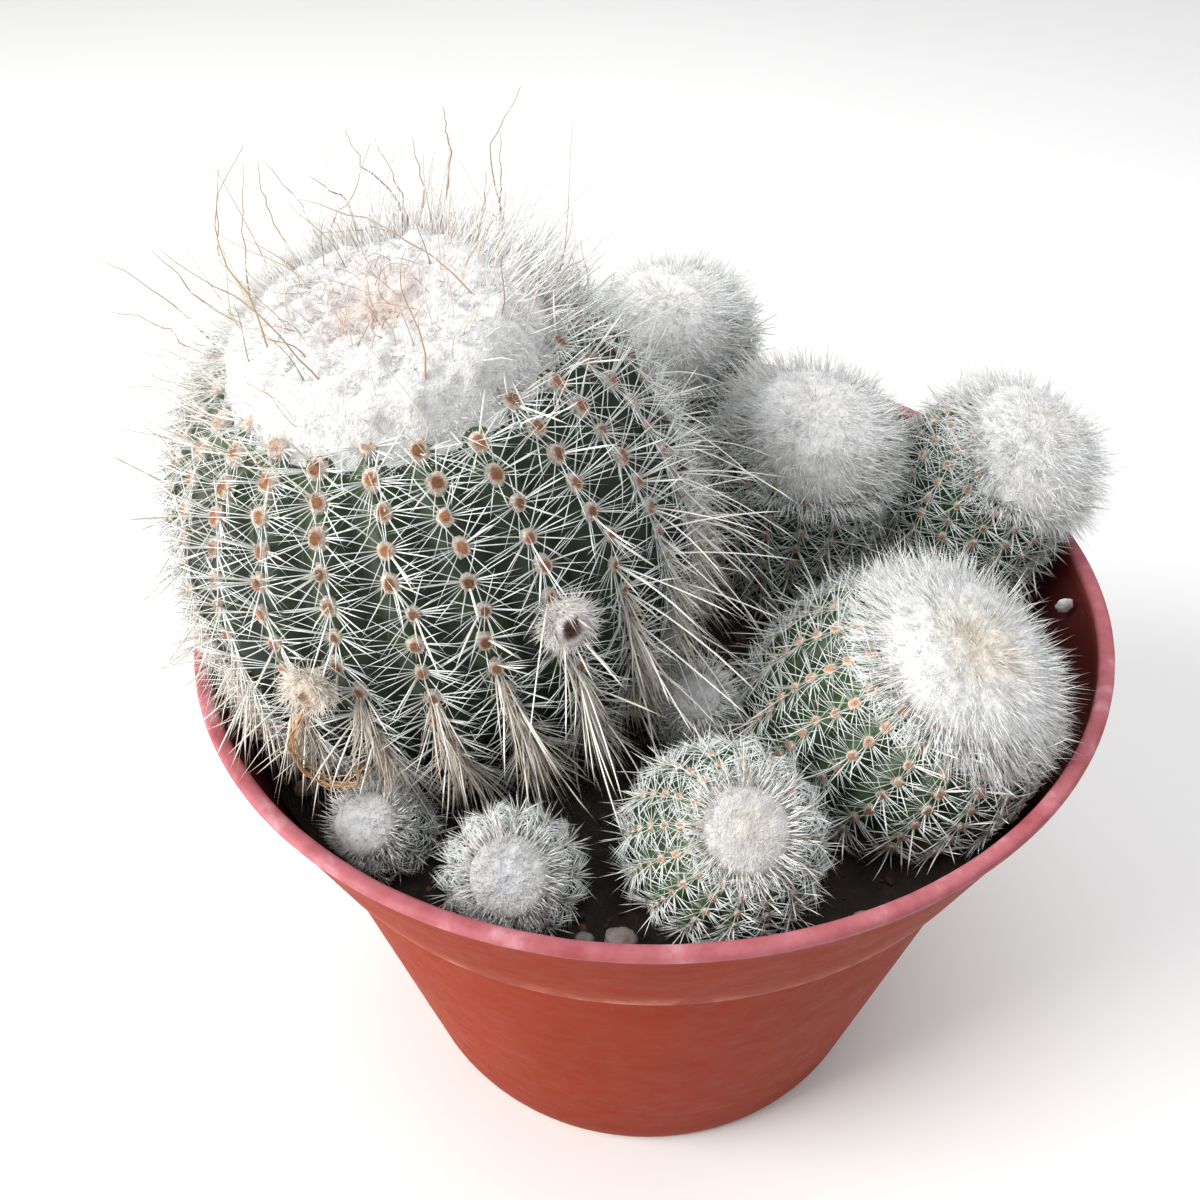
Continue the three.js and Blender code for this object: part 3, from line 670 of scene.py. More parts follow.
# ------------------------------------------------------------------ woolly crowns
def make_crown(name, s, n_hair, hair_len, style):
    rnd = np.random.default_rng(4000 + NAMES.index(name))
    T, r, h, A = s["tab"]
    half = len(r) // 2
    seg = 120 if s["R"] > 30 else (72 if s["R"] > 12.6 else 48)
    rows = 40 if s["R"] > 30 else (22 if s["R"] > 12.6 else 14)
    rmax = s["crown"] * 1.12
    rad = rmax * np.linspace(0, 1, rows + 1)[1:]
    th = np.arange(seg) * 2 * np.pi / seg

    def top_h(q):
        S = np.interp(q, r[:half], A[:half])
        return np.interp(S, A, h)

    seedv = 7.7 * NAMES.index(name)

    def lump(x, y, k, amp):
        return amp * np.array([noise.noise(Vector((float(p) * k, float(q) * k, seedv))) for p, q in zip(x.ravel(), y.ravel())]).reshape(x.shape)

    RR, TH = np.meshgrid(rad, th, indexing="ij")
    SX, SY = WOOL_SHIFT.get(name, (0.0, 0.0))
    shift_w = SX * np.array([1.0, 0, 0]) + SY * np.array([0, 1.0, 0])
    su, sv = shift_w @ s["u"], shift_w @ s["v"]
    X, Y = RR * np.cos(TH) + su, RR * np.sin(TH) + sv

    def place(x, y, lift):
        """a point of the top surface under plan position x, y, raised along the outward direction"""
        rr_ = np.minimum(np.hypot(x, y), s["R"] * 0.985)
        tt = np.arctan2(y, x)
        S = np.interp(rr_, r[:half], A[:half])
        _, h_, _, n_ = at_arc(s, S)
        er_ = radial(s, tt)
        nn = n_[..., :1] * er_ + n_[..., 1:] * s["a"]
        return s["C"] + h_[..., None] * s["a"] + rr_[..., None] * er_ + np.asarray(lift)[..., None] * nn, nn

    edge = np.clip((1 - RR / rmax) / 0.20, 0, 1)
    edge = edge * edge * (3 - 2 * edge)
    amp = s["wool"]
    ee = np.clip((1.12 - RR / s["crown"]) / 0.30, 0, 1)
    lift = (s["wool"] * ee * ee * (3 - 2 * ee) - s["dip"] * np.maximum(0, 1 - (RR / s["crown"]) ** 2 * 2.2)) * 0.86 + 0.2 + style.get("rough", 1.0) * (lump(X, Y, 0.27, 0.30 * amp) + lump(X, Y, 0.62, 0.20 * amp) + lump(X, Y, 1.5, 0.11 * amp)) * edge
    lift = lift - 0.9 * (1 - edge)
    Pt, _ = place(X, Y, lift)
    Pb, _ = place(X, Y, -1.6 + 0 * X)
    rows_n = rows
    verts = np.concatenate([Pt.reshape(-1, 3), Pb.reshape(-1, 3), [Pt[0].mean(0)], [Pb[0].mean(0)]])
    n1 = rows_n * seg
    q1 = grid_quads(rows_n, seg, True)
    q2 = grid_quads(rows_n, seg, True, off=n1, flip=True)
    j = np.arange(seg)
    j2 = (j + 1) % seg
    last = (rows_n - 1) * seg
    q3 = np.stack([last + j2, last + j, n1 + last + j, n1 + last + j2], 1)
    tr = np.concatenate([np.stack([np.full(seg, 2 * n1), j, j2], 1), np.stack([np.full(seg, 2 * n1 + 1), n1 + j2, n1 + j], 1)])
    q = np.clip(RR / s["crown"], 0, 1.2)
    # the style's white factor scales the wool down; in the DISC_PAINTED_SHADE and TUFT_PAINTED_SHADE styles that
    # darkening is painted shade
    white = np.array([0.885, 0.88, 0.872]) * style.get("white", 1.0)
    mid = np.array(style["centre"])
    w = (np.clip(1 - q / style["centre_r"], 0, 1)[..., None] ** 1.2) * style.get("centre_w", 1.0)
    col = white * (1 - w) + mid * w
    colv = np.concatenate([col.reshape(-1, 3), np.tile(white, (n1, 1)), [col[0].mean(0)], [white]])
    piece(name + "_wool", "wool", verts=verts, quads=np.concatenate([q1[:, ::-1], q2[:, ::-1], q3[:, ::-1]]), tris=tr, material=MAT_WOOL, attrs={"col": colv})

    # ---- wool hairs and young spines
    M = n_hair
    qr = s["crown"] * 1.16 * np.sqrt(rnd.random(M)) ** style.get("pack", 0.9)
    qt = rnd.random(M) * 2 * np.pi
    x, y = qr * np.cos(qt) + su, qr * np.sin(qt) + sv
    er = radial(s, qt)
    et = np.cross(s["a"], er)
    base, nrm0 = place(x, y, crown_lift(s, qr) * 0.78)
    frac = qr / s["crown"]
    nrm = unit(nrm0)
    comb = style["comb"]
    rr1 = rnd.normal(0, 1, (M, 3))
    d = unit(nrm * style["stand"] + er * (comb * (0.35 + 0.65 * frac))[:, None] + et * (style["swirl"])
             + rr1 * style["mess"])
    L = hair_len[0] + (hair_len[1] - hair_len[0]) * rnd.random(M) ** 1.4
    L = L * (0.6 + 0.4 * np.clip(frac, 0, 1))
    front = np.clip(-(er @ np.array([0.25, 0.95, 0.0])), 0, 1)
    L = L * (1 - style.get("trim", 0.0) * front * np.clip(frac - 0.5, 0, 0.5) * 2)
    bend = unit(rnd.normal(0, 1, (M, 3))) * (L * style["curl"])[:, None] - s["a"] * (L * style["droop"])[:, None]
    d, L, ok = keep_clear(name, base, d, L, bend)
    # keep the hairs above the skin
    tip = base + d * L[:, None] + bend
    ok &= ~inside_stem(s, tip, -0.2)
    tone = rnd.random((M, 1))
    # the same white factor darkens the hairs; in the DISC_PAINTED_SHADE and TUFT_PAINTED_SHADE styles it is painted
    # shade
    wc = np.array([0.93, 0.94, 0.945]) * style.get("white", 1.0) * (0.94 + 0.08 * tone)
    w = (np.clip(1 - frac / style["centre_r"], 0, 1) ** 1.0)[:, None]
    bc = wc * (1 - w) + np.array(style["centre"]) * (0.85 + 0.35 * tone) * w
    g = needle_mix(rnd, style.get("bowed", 0.5), base[ok] - nrm[ok] * 0.3, d[ok], L[ok], style["r"] * (0.7 + 0.6 * rnd.random(ok.sum())), bend[ok], 2,
                   bc[ok], bc[ok] * 1.03)
    piece(name + "_wool_hair", "wool", material=MAT_HAIR, **g)
    # ---- the fringe: longer white hairs standing out round the crown
    M, lf = style["fringe"]
    qt = rnd.random(M) * 2 * np.pi
    qr = s["crown"] * (0.72 + 0.55 * rnd.random(M))
    er = radial(s, qt)
    et = np.cross(s["a"], er)
    base, nrm = place(qr * np.cos(qt) + su, qr * np.sin(qt) + sv, crown_lift(s, qr) * 0.6 - 0.3)
    back = np.clip((er @ np.array([0.0, 1.0, 0.0])) * 0.5 + 0.5, 0, 1)
    d = unit(s["a"] * (0.30 + 0.85 * rnd.random((M, 1)) * (0.35 + 0.65 * back[:, None])) + er * (0.85 + 0.3 * rnd.random((M, 1))) + rnd.normal(0, 0.20, (M, 3)))
    L = (lf[0] + (lf[1] - lf[0]) * rnd.random(M) ** 1.5) * (0.6 + 0.4 * back)
    bend = rnd.normal(0, 0.09, (M, 3)) * L[:, None] - s["a"] * (0.10 * L)[:, None]
    d, L, ok = keep_clear(name, base, d, L, bend)
    ok &= rnd.random(M) < np.clip(back * 2.4 - style.get("back", -2.0), 0.05, 1)
    cc = np.array([0.94, 0.935, 0.92]) * (0.88 + 0.14 * rnd.random((M, 1)))
    v, q, t, c = needles(base[ok], d[ok], L[ok], style["r"] * (0.9 + 0.5 * rnd.random(ok.sum())), bend[ok], 2, base_col=cc[ok])
    piece(name + "_fringe", "wool", verts=v, quads=q, tris=t, material=MAT_HAIR, attrs={"col": c})


# ------------------------------------------------------------------ build the plant
for _name, _s in STEMS.items():
    _mat = MAT_FLESH if _name == "stem_main" else (MAT_FLESH_PALE if _name == "stem_centre" else MAT_FLESH_YOUNG)
    make_flesh(_name, _s, _mat)

RUST = (0.34, 0.160, 0.085)
PINKISH = (0.47, 0.27, 0.17)
make_felt("stem_main", STEMS["stem_main"], 1.16, RUST, (0.88, 0.81, 0.73), K=16)
make_felt("stem_right_front", STEMS["stem_right_front"], 0.80, PINKISH, (0.86, 0.80, 0.70))
make_felt("stem_front", STEMS["stem_front"], 0.50, PINKISH, (0.84, 0.81, 0.74))
make_felt("stem_front_left", STEMS["stem_front_left"], 0.42, PINKISH, (0.84, 0.82, 0.78))
make_felt("stem_far_left", STEMS["stem_far_left"], 0.40, PINKISH, (0.84, 0.82, 0.78))
for _name in ("stem_back", "stem_back_right", "stem_rear"):
    make_felt(_name, STEMS[_name], 0.74, PINKISH, (0.86, 0.79, 0.70), K=7)
make_felt("stem_centre", STEMS["stem_centre"], 0.36, PINKISH, (0.82, 0.80, 0.74))

make_spines("stem_main", STEMS["stem_main"], 17, (6.0, 8.8), 0.100, 3, (9, 17), 0.15, aged=1.0, share=0.6)
make_spines("stem_right_front", STEMS["stem_right_front"], 17, (3.6, 6.0), 0.086, 3, (6, 10), 0.125, aged=0.25, share=0.6)
make_spines("stem_front", STEMS["stem_front"], 15, (2.6, 5.0), 0.074, 3, (4, 6.5), 0.09)
make_spines("stem_front_left", STEMS["stem_front_left"], 20, (2.2, 4.4), 0.068, 3, (3.5, 5.5), 0.08)
make_spines("stem_far_left", STEMS["stem_far_left"], 18, (2.0, 4.0), 0.065, 2, (3, 5), 0.08)
make_spines("stem_back", STEMS["stem_back"], 17, (4.0, 6.8), 0.09, 3, (6, 10), 0.12, aged=0.4, share=0.35)
make_spines("stem_back_right", STEMS["stem_back_right"], 17, (4.0, 6.8), 0.09, 3, (6, 10), 0.12, aged=0.4, share=0.35)
make_spines("stem_rear", STEMS["stem_rear"], 17, (4.4, 7.0), 0.09, 3, (7, 11), 0.12, aged=0.4, share=0.3)
make_spines("stem_centre", STEMS["stem_centre"], 18, (2.0, 3.4), 0.065, 2, (2.5, 4.2), 0.075)

FLUFF = dict(white=0.85, rough=1.25, stand=0.75, comb=0.55, swirl=0.0, mess=0.50, curl=0.35, droop=0.22, r=0.07, centre=(0.66, 0.54, 0.48), centre_r=0.50, pack=0.80,
             fringe=(2700, (7.0, 17.0)), bowed=0.5, trim=0.75, back=0.75)
SILK = dict(stand=0.42, comb=1.0, swirl=0.05, mess=0.13, curl=0.10, droop=0.22, r=0.065, centre=(0.78, 0.69, 0.55), centre_r=0.62, pack=0.85,
            fringe=(700, (5.0, 9.0)), bowed=0.5)
SHAG = dict(stand=0.55, comb=1.0, swirl=0.0, mess=0.24, curl=0.16, droop=0.25, r=0.068, centre=(0.80, 0.76, 0.70), centre_r=0.5, pack=0.85,
            fringe=(800, (5.0, 10.0)), bowed=0.5, centre_w=0.5)
# DISC_PAINTED_SHADE and TUFT_PAINTED_SHADE paint shade on the small low stems: their wool is darkened (white 0.70 and
# 0.64), and TUFT_PAINTED_SHADE's centre is blue-grey
DISC_PAINTED_SHADE = dict(stand=0.25, comb=1.0, swirl=0.30, mess=0.20, curl=0.12, droop=0.15, r=0.055, centre=(0.66, 0.62, 0.56), centre_r=0.95, pack=0.9,
            fringe=(420, (3.2, 6.0)), white=0.70)
TUFT_PAINTED_SHADE = dict(stand=0.7, comb=0.75, swirl=0.0, mess=0.50, curl=0.25, droop=0.10, r=0.06, centre=(0.60, 0.61, 0.64), centre_r=0.8, pack=0.95,
            fringe=(420, (2.6, 5.2)), white=0.64)
make_crown("stem_main", STEMS["stem_main"], 6800, (1.4, 3.8), FLUFF)
make_crown("stem_right_front", STEMS["stem_right_front"], 4600, (3.0, 6.5), SILK)
make_crown("stem_front", STEMS["stem_front"], 1300, (1.4, 3.2), DISC_PAINTED_SHADE)
make_crown("stem_front_left", STEMS["stem_front_left"], 1300, (1.6, 3.4), TUFT_PAINTED_SHADE)
make_crown("stem_far_left", STEMS["stem_far_left"], 900, (1.4, 3.0), TUFT_PAINTED_SHADE)
make_crown("stem_back", STEMS["stem_back"], 3000, (3.0, 6.8), SHAG)
make_crown("stem_back_right", STEMS["stem_back_right"], 3000, (3.0, 6.8), SHAG)
make_crown("stem_rear", STEMS["stem_rear"], 2900, (3.4, 7.0), SHAG)
make_crown("stem_centre", STEMS["stem_centre"], 500, (1.0, 2.2), TUFT_PAINTED_SHADE)


def make_curtains(name, s, start, per, length, r):
    """Aged spines and felt hanging in sheaves from the oldest areoles of every rib."""
    a = AREOLES[name]
    rnd = np.random.default_rng(6000 + NAMES.index(name))
    pick = np.where(a["age"] > start)[0]
    idx = np.repeat(pick, per)
    M = len(idx)
    w = (a["age"][idx] - start) / (1 - start)
    d = unit(a["ES"][idx] * 0.9 + np.array([0, 0, -0.35]) + a["N"][idx] * (0.40 + 0.75 * rnd.random((M, 1))) + a["ET"][idx] * rnd.normal(0, 0.30, (M, 1)))
    L = (length[0] + (length[1] - length[0]) * rnd.random(M) ** 1.3) * (0.65 + 0.35 * w)
    base = a["P"][idx] - a["N"][idx] * 0.2 + a["ET"][idx] * rnd.normal(0, 0.35, (M, 1)) + a["ES"][idx] * rnd.normal(0, 0.5, (M, 1))
    bend = rnd.normal(0, 0.07, (M, 3)) * L[:, None] + np.array([0, 0, -0.18]) * L[:, None]
    d, L, ok = keep_clear(name, base, d, L, bend)
    ok &= rnd.random(M) < 0.35 + 0.9 * w
    t = rnd.random((M, 1))
    c = (CREAM * (0.62 + 0.38 * t) + np.array([0.16, 0.09, 0.05]) * (1 - t)) * (0.88 + 0.2 * rnd.random((M, 1)))
    c = np.where(rnd.random((M, 1)) < 0.45, np.array([0.92, 0.88, 0.83]) * (0.88 + 0.12 * t), c)
    g = needle_mix(rnd, 0.6, base[ok], d[ok], L[ok], (r * (0.7 + 0.6 * rnd.random(M)))[ok], bend[ok], 2, c[ok])
    piece(name + "_sheaves", "spine", material=MAT_CENTRAL, **g)
    # loose pale felt between the sheaves
    idx = np.repeat(pick, 60)
    M = len(idx)
    w = (a["age"][idx] - start) / (1 - start)
    west = np.clip(-a["N"][idx] @ np.array([0.95, 0.25, 0.0]), 0, 1)
    keep = rnd.random(M) < (0.12 + 0.45 * w + 0.9 * w * west)
    idx = idx[keep]
    M = len(idx)
    d = unit(rnd.normal(0, 0.6, (M, 3)) + a["N"][idx] * 0.55 + a["ES"][idx] * 0.5)
    base = a["P"][idx] + a["ET"][idx] * rnd.normal(0, 1.3, (M, 1)) + a["ES"][idx] * rnd.normal(0.3, 1.0, (M, 1)) - a["N"][idx] * 0.2
    L = 2.0 + 3.4 * rnd.random(M)
    bend = rnd.normal(0, 0.25, (M, 3)) * L[:, None]
    d, L, ok = keep_clear(name, base, d, L, bend)
    c = np.array([0.90, 0.82, 0.77]) * (0.84 + 0.3 * rnd.random((M, 1)))
    g = needle_mix(rnd, 0.3, base[ok], d[ok], L[ok], 0.07 * np.ones(ok.sum()), bend[ok], 2, c[ok])
    piece(name + "_old_felt", "areole", material=MAT_HAIR, **g)


def make_long(name, count, length, r):
    a = AREOLES[name]
    rnd = np.random.default_rng(7000)
    az = np.degrees(np.arctan2(a["N"][:, 1], a["N"][:, 0]))
    pick = np.where((az > -62) & (az < 25) & (a["age"] > 0.36) & (a["age"] < 0.80))[0]
    idx = rnd.choice(pick, count)
    M = len(idx)
    d = unit(a["N"][idx] * 0.85 + a["ES"][idx] * (0.1 + 0.5 * rnd.random((M, 1))) + a["ET"][idx] * rnd.normal(0, 0.4, (M, 1)))
    L = length[0] + (length[1] - length[0]) * rnd.random(M)
    bend = np.array([0, 0, -1.0]) * (L * (0.10 + 0.30 * rnd.random(M)))[:, None] + rnd.normal(0, 0.06, (M, 3)) * L[:, None]
    base = a["P"][idx] - a["N"][idx] * 0.3
    d, L, ok = keep_clear(name, base, d, L, bend)
    c = np.array([0.93, 0.91, 0.86]) * (0.9 + 0.1 * rnd.random((M, 1)))
    v, q, t, col = needles(base[ok], d[ok], L[ok], r * (0.8 + 0.4 * rnd.random(ok.sum())), bend[ok], 6, base_col=c[ok], profile=lambda u: 1.0 - 0.45 * u)
    piece(name + "_long_spines", "spine", verts=v, quads=q, tris=t, material=MAT_CENTRAL, attrs={"col": col})


def make_haze(name, count, length, r):
    """Very fine hair between the spines of the main stem, thickest towards the sides and the foot."""
    a = AREOLES[name]
    rnd = np.random.default_rng(8000)
    west = np.clip(-a["N"] @ unit(np.array([0.8, -0.1, -0.3])), 0, 1)
    east = np.clip(a["N"] @ unit(np.array([0.9, 0.35, 0.0])), 0, 1)
    wt = 0.04 + 1.3 * west ** 3 + 0.9 * east ** 2.5
    wt *= 0.5 + a["age"]
    idx = rnd.choice(len(wt), count, p=wt / wt.sum())
    d = unit(a["N"][idx] * 0.75 + rnd.normal(0, 0.45, (count, 3)) + a["ES"][idx] * 0.35)
    L = length[0] + (length[1] - length[0]) * rnd.random(count) ** 1.4
    bend = rnd.normal(0, 0.12, (count, 3)) * L[:, None]
    base = a["P"][idx] - a["N"][idx] * 0.2
    d, L, ok = keep_clear(name, base, d, L, bend)
    c = np.array([0.95, 0.93, 0.90]) * (0.9 + 0.1 * rnd.random((count, 1)))
    g = needle_mix(rnd, 0.25, base[ok], d[ok], L[ok], r * np.ones(ok.sum()), bend[ok], 2, c[ok])
    piece(name + "_fine_hair", "spine", material=MAT_SPINE, **g)


make_haze("stem_main", 3400, (6.0, 11.5), 0.050)
make_long("stem_main", 70, (13, 21), 0.15)
make_curtains("stem_main", STEMS["stem_main"], 0.48, 26, (9.0, 21.0), 0.12)

# ------------------------------------------------------------------ long bristles on the main crown
BRISTLES = [
    [[-58.3, -6.0, 140.6], [-62.5, -5.6, 146.0], [-66.1, -6.0, 149.8], [-70.3, -7.1, 153.3]],
    [[-61.3, -8.3, 141.8], [-63.6, -8.6, 144.6], [-68.9, -10.3, 147.5]],
    [[-47.0, -17.3, 145.1], [-49.1, -15.0, 152.0], [-51.3, -14.3, 156.4], [-51.6, -12.7, 161.8], [-50.7, -11.2, 166.3]],
    [[-59.9, 7.6, 145.9], [-60.2, 9.0, 150.6], [-59.1, 10.6, 155.0], [-55.7, 13.1, 159.9]],
    [[-53.8, -1.6, 143.6], [-54.2, 0.3, 148.8], [-54.1, 2.5, 155.2], [-53.2, 4.6, 161.0]],
    [[-39.3, -23.7, 145.1], [-41.3, -23.3, 148.2], [-46.1, -22.2, 154.5], [-51.2, -22.9, 158.5], [-54.7, -23.3, 162.2]],
    [[-43.1, 15.3, 150.7], [-45.4, 15.0, 153.1], [-47.9, 14.5, 155.3]],
    [[-21.7, -9.7, 149.1], [-27.4, -8.8, 154.4], [-33.1, -8.8, 158.6], [-37.7, -9.7, 160.7], [-42.0, -10.8, 162.7]],
    [[-34.5, 11.2, 147.2], [-37.8, 10.8, 149.4], [-41.9, 9.3, 149.9], [-45.5, 7.7, 150.2]],
    [[-26.2, -25.1, 145.4], [-27.3, -22.3, 151.8], [-28.8, -20.7, 156.8], [-28.2, -19.4, 160.6]],
    [[-21.9, 17.1, 145.2], [-22.1, 18.3, 149.6], [-23.4, 19.4, 154.3], [-23.1, 20.2, 157.8], [-21.0, 21.1, 161.4], [-18.8, 21.9, 164.8]],
    [[-22.4, 17.5, 146.4], [-22.1, 19.7, 152.8], [-21.9, 21.3, 158.8]],
    [[-35.5, 16.9, 150.1], [-36.6, 17.3, 153.3], [-38.9, 18.4, 159.1]],
    [[-36.5, 16.8, 150.6], [-40.9, 17.3, 156.0], [-42.8, 17.9, 160.4]],
    [[-33.0, 17.8, 151.2], [-34.0, 20.0, 158.8]],
    [[-29.1, 20.1, 155.0], [-29.4, 21.0, 159.3], [-29.6, 21.4, 162.3]],
    [[-23.0, 17.8, 147.3], [-24.3, 18.1, 149.7], [-24.0, 19.2, 154.0]],
    [[-46.0, 13.4, 148.2], [-42.5, 15.4, 152.2], [-39.6, 18.0, 158.6]],
    [[-49.0, 13.4, 150.2], [-50.6, 13.7, 153.7], [-53.7, 13.6, 157.8]],
    [[-59.4, -4.9, 146.5], [-61.5, -4.8, 150.0], [-64.1, -5.0, 153.5]],
    [[-53.0, 11.7, 149.4], [-54.2, 12.6, 154.1], [-54.2, 13.5, 157.9]],
]


def smooth_path(pts, n):
    """Catmull-Rom through the points, n samples"""
    p = np.array(pts, float)
    p = np.vstack([2 * p[0] - p[1], p, 2 * p[-1] - p[-2]])
    out = []
    segs = len(p) - 3
    for u in np.linspace(0, segs, n):
        i = min(int(u), segs - 1)
        f = u - i
        a, b, c, d = p[i: i + 4]
        out.append(0.5 * (2 * b + (c - a) * f + (2 * a - 5 * b + 4 * c - d) * f * f + (3 * b - a - 3 * c + d) * f ** 3))
    return np.array(out)


def strand(path, radii, sides=5):
    """One closed tapering tube along a path"""
    path = np.asarray(path, float)
    n = len(path)
    tan = unit(np.gradient(path, axis=0))
    e1 = unit(np.cross(tan[0], [0.3, 0.2, 1.0]))
    V = []
    for i in range(n):
        e1 = unit(e1 - tan[i] * (e1 @ tan[i]))
        e2 = np.cross(tan[i], e1)
        for k in range(sides):
            a = 2 * math.pi * k / sides
            V.append(path[i] + radii[i] * (math.cos(a) * e1 + math.sin(a) * e2))
    V += [path[0] - tan[0] * radii[0] * 0.3, path[-1] + tan[-1] * radii[-1]]
    q = grid_quads(n, sides, True)
    b, t = n * sides, n * sides + 1
    j = np.arange(sides)
    j2 = (j + 1) % sides
    tr = np.concatenate([np.stack([np.full(sides, b), j2, j], 1), np.stack([np.full(sides, t), (n - 1) * sides + j, (n - 1) * sides + j2], 1)])
    return np.array(V), q, tr


_main = STEMS["stem_main"]
parts = []
rb = np.random.default_rng(77)
for pts in BRISTLES:
    p = [np.array(q, float) for q in pts]
    root = p[0].copy()
    for _ in range(80):
        if inside_stem(_main, root, -0.6):
            break
        root += 0.5 * unit(_main["C"] + 20 * _main["a"] - root)
    path = smooth_path([root] + p, 13)
    path[1:-1] += rb.normal(0, 0.16, (11, 3))
    rad = 0.19 * np.linspace(1, 0.30, 13)
    v, q, t = strand(path, rad, 4)
    tone = 0.75 + 0.5 * rb.random()
    c0 = (0.45 * TAN + 0.55 * BROWN) * tone
    u = np.concatenate([np.repeat(np.linspace(0, 1, 13), 4), [0, 1]])[:, None]
    parts.append((v, q, t, c0 * (1 - u) + (0.15 * CREAM + 0.75 * TAN) * u))
# many finer ones, standing round the crown
M = 150
qt = rb.random(M) * 2 * np.pi
qr = _main["crown"] * (0.45 + 0.95 * rb.random(M))
T_, r_, h_, A_ = _main["tab"]
for i in range(M):
    S = np.interp(qr[i], r_[:900], A_[:900])
    hh = np.interp(S, A_, h_)
    er = radial(_main, np.array(qt[i]))
    et = np.cross(_main["a"], er)
    b = _main["C"] + hh * _main["a"] + qr[i] * er
    d = unit(_main["a"] * (0.9 + 0.3 * rb.random()) + er * (0.15 + 0.75 * rb.random()) * (qr[i] / _main["crown"]) + et * rb.normal(0, 0.25))
    L = 9 + 11 * rb.random() ** 1.3
    bend = rb.normal(0, 0.13, 3) * L
    bend2 = rb.normal(0, 0.05, 3) * L
    us = np.linspace(0, 1, 8)[:, None]
    path = b - d * 0.8 + d * L * us + bend * us ** 2 + bend2 * np.sin(us * np.pi * 1.6)
    v, q, t = strand(path, (0.095 + 0.05 * rb.random()) * np.linspace(1, 0.3, 8), 3)
    kind = rb.random()
    c0 = (0.55 * CREAM + 0.45 * TAN) if kind < 0.55 else (WHITE if kind < 0.8 else (0.5 * TAN + 0.4 * BROWN))
    u = np.concatenate([np.repeat(np.linspace(0, 1, 8), 3), [0, 1]])[:, None]
    parts.append((v, q, t, c0 * (1 - 0.1 * u) + 0.1 * CREAM * u))
# short curly ones in the hollow of the crown
for i in range(60):
    qa = rb.random() * 2 * np.pi
    q0 = 10.5 * math.sqrt(rb.random())
    S = np.interp(q0, r_[:900], A_[:900])
    hh = np.interp(S, A_, h_) + float(crown_lift(_main, np.array(q0))) * 0.8
    er = radial(_main, np.array(qa))
    et = np.cross(_main["a"], er)
    b = _main["C"] + hh * _main["a"] + q0 * er
    d = unit(_main["a"] * 0.8 + rb.normal(0, 0.5, 3))
    L = 2.2 + 3.0 * rb.random()
    w1, w2 = rb.normal(0, 0.35, 3) * L, rb.normal(0, 0.22, 3) * L
    us = np.linspace(0, 1, 8)[:, None]
    path = b - d * 0.6 + d * L * np.sin(us * 1.5) + w1 * us ** 2 + w2 * np.sin(us * np.pi * 1.5)
    v, q, t = strand(path, 0.07 * np.linspace(1, 0.5, 8), 3)
    c0 = np.array([0.52, 0.34, 0.27]) * (0.75 + 0.6 * rb.random())
    parts.append((v, q, t, np.tile(c0, (len(v), 1))))
piece("stem_main_bristles", "spine", material=MAT_CENTRAL, **merge(parts))


# ------------------------------------------------------------------ bud, dried flower and strand
def tuft_body(name, slot, nodes, P, D, r, h, mat, col_top, col_side, seed, n_hair, hair_len, hair_col, hollow=0.0):
    rnd = np.random.default_rng(seed)
    P = np.array(P, float)
    D = unit(D)
    e1 = unit(np.cross(D, [0.1, 0.2, 1.0]))
    e2 = np.cross(D, e1)
    prof = [(0.62, -0.34), (0.86, -0.2), (1.0, 0.02), (0.97, 0.2), (0.82, 0.38), (0.58, 0.52), (0.34, 0.58 - hollow), (0.16, 0.56 - 1.4 * hollow)]
    seg = 28
    V, C = [], []
    for i, (a, b) in enumerate(prof):
        for k in range(seg):
            an = 2 * math.pi * k / seg
            w = 1 + 0.34 * noise.noise(Vector((math.cos(an) * 1.4, math.sin(an) * 1.4, b * 2 + seed)))
            V.append(P + (r * a * w) * (math.cos(an) * e1 + math.sin(an) * e2) + D * h * b * (1 + 0.06 * rnd.normal()))
            C.append(np.array(col_side) if a > 0.45 or b < 0.2 else np.array(col_top))
    V += [P - D * h * 0.36, P + D * h * (0.55 - 1.5 * hollow)]
    C += [np.array(col_side), np.array(col_top)]
    n = len(prof)
    q = grid_quads(n, seg, True)
    b_, t_ = n * seg, n * seg + 1
    j = np.arange(seg)
    j2 = (j + 1) % seg
    tr = np.concatenate([np.stack([np.full(seg, b_), j2, j], 1), np.stack([np.full(seg, t_), (n - 1) * seg + j, (n - 1) * seg + j2], 1)])
    piece(name, slot, *nodes, verts=np.array(V), quads=q, tris=tr, material=mat, attrs={"col": np.array(C)})
    M = n_hair
    ph = rnd.random(M) * 2 * np.pi
    ct = rnd.random(M) ** 0.8
    el = np.arcsin(np.clip(ct * 1.02 - 0.35, -0.5, 0.86))
    ra = (np.cos(ph)[:, None] * e1 + np.sin(ph)[:, None] * e2)
    base = P + ra * (r * 0.86 * np.cos(el))[:, None] + D * (h * 0.5 * np.sin(el))[:, None]
    d = unit(ra * np.cos(el)[:, None] + D * (np.sin(el) + 0.35)[:, None] + np.array([0, 0, -0.35]) + rnd.normal(0, 0.55, (M, 3)))
    L = hair_len[0] + (hair_len[1] - hair_len[0]) * rnd.random(M)
    bend = rnd.normal(0, 0.2, (M, 3)) * L[:, None]
    hc = np.array(hair_col) * (0.85 + 0.25 * rnd.random((M, 1)))
    v, q, t, c = needles(base, d, L, 0.06, bend, 2, base_col=hc)
    piece(name + "_hair", slot, verts=v, quads=q, tris=t, material=MAT_HAIR, attrs={"col": c})


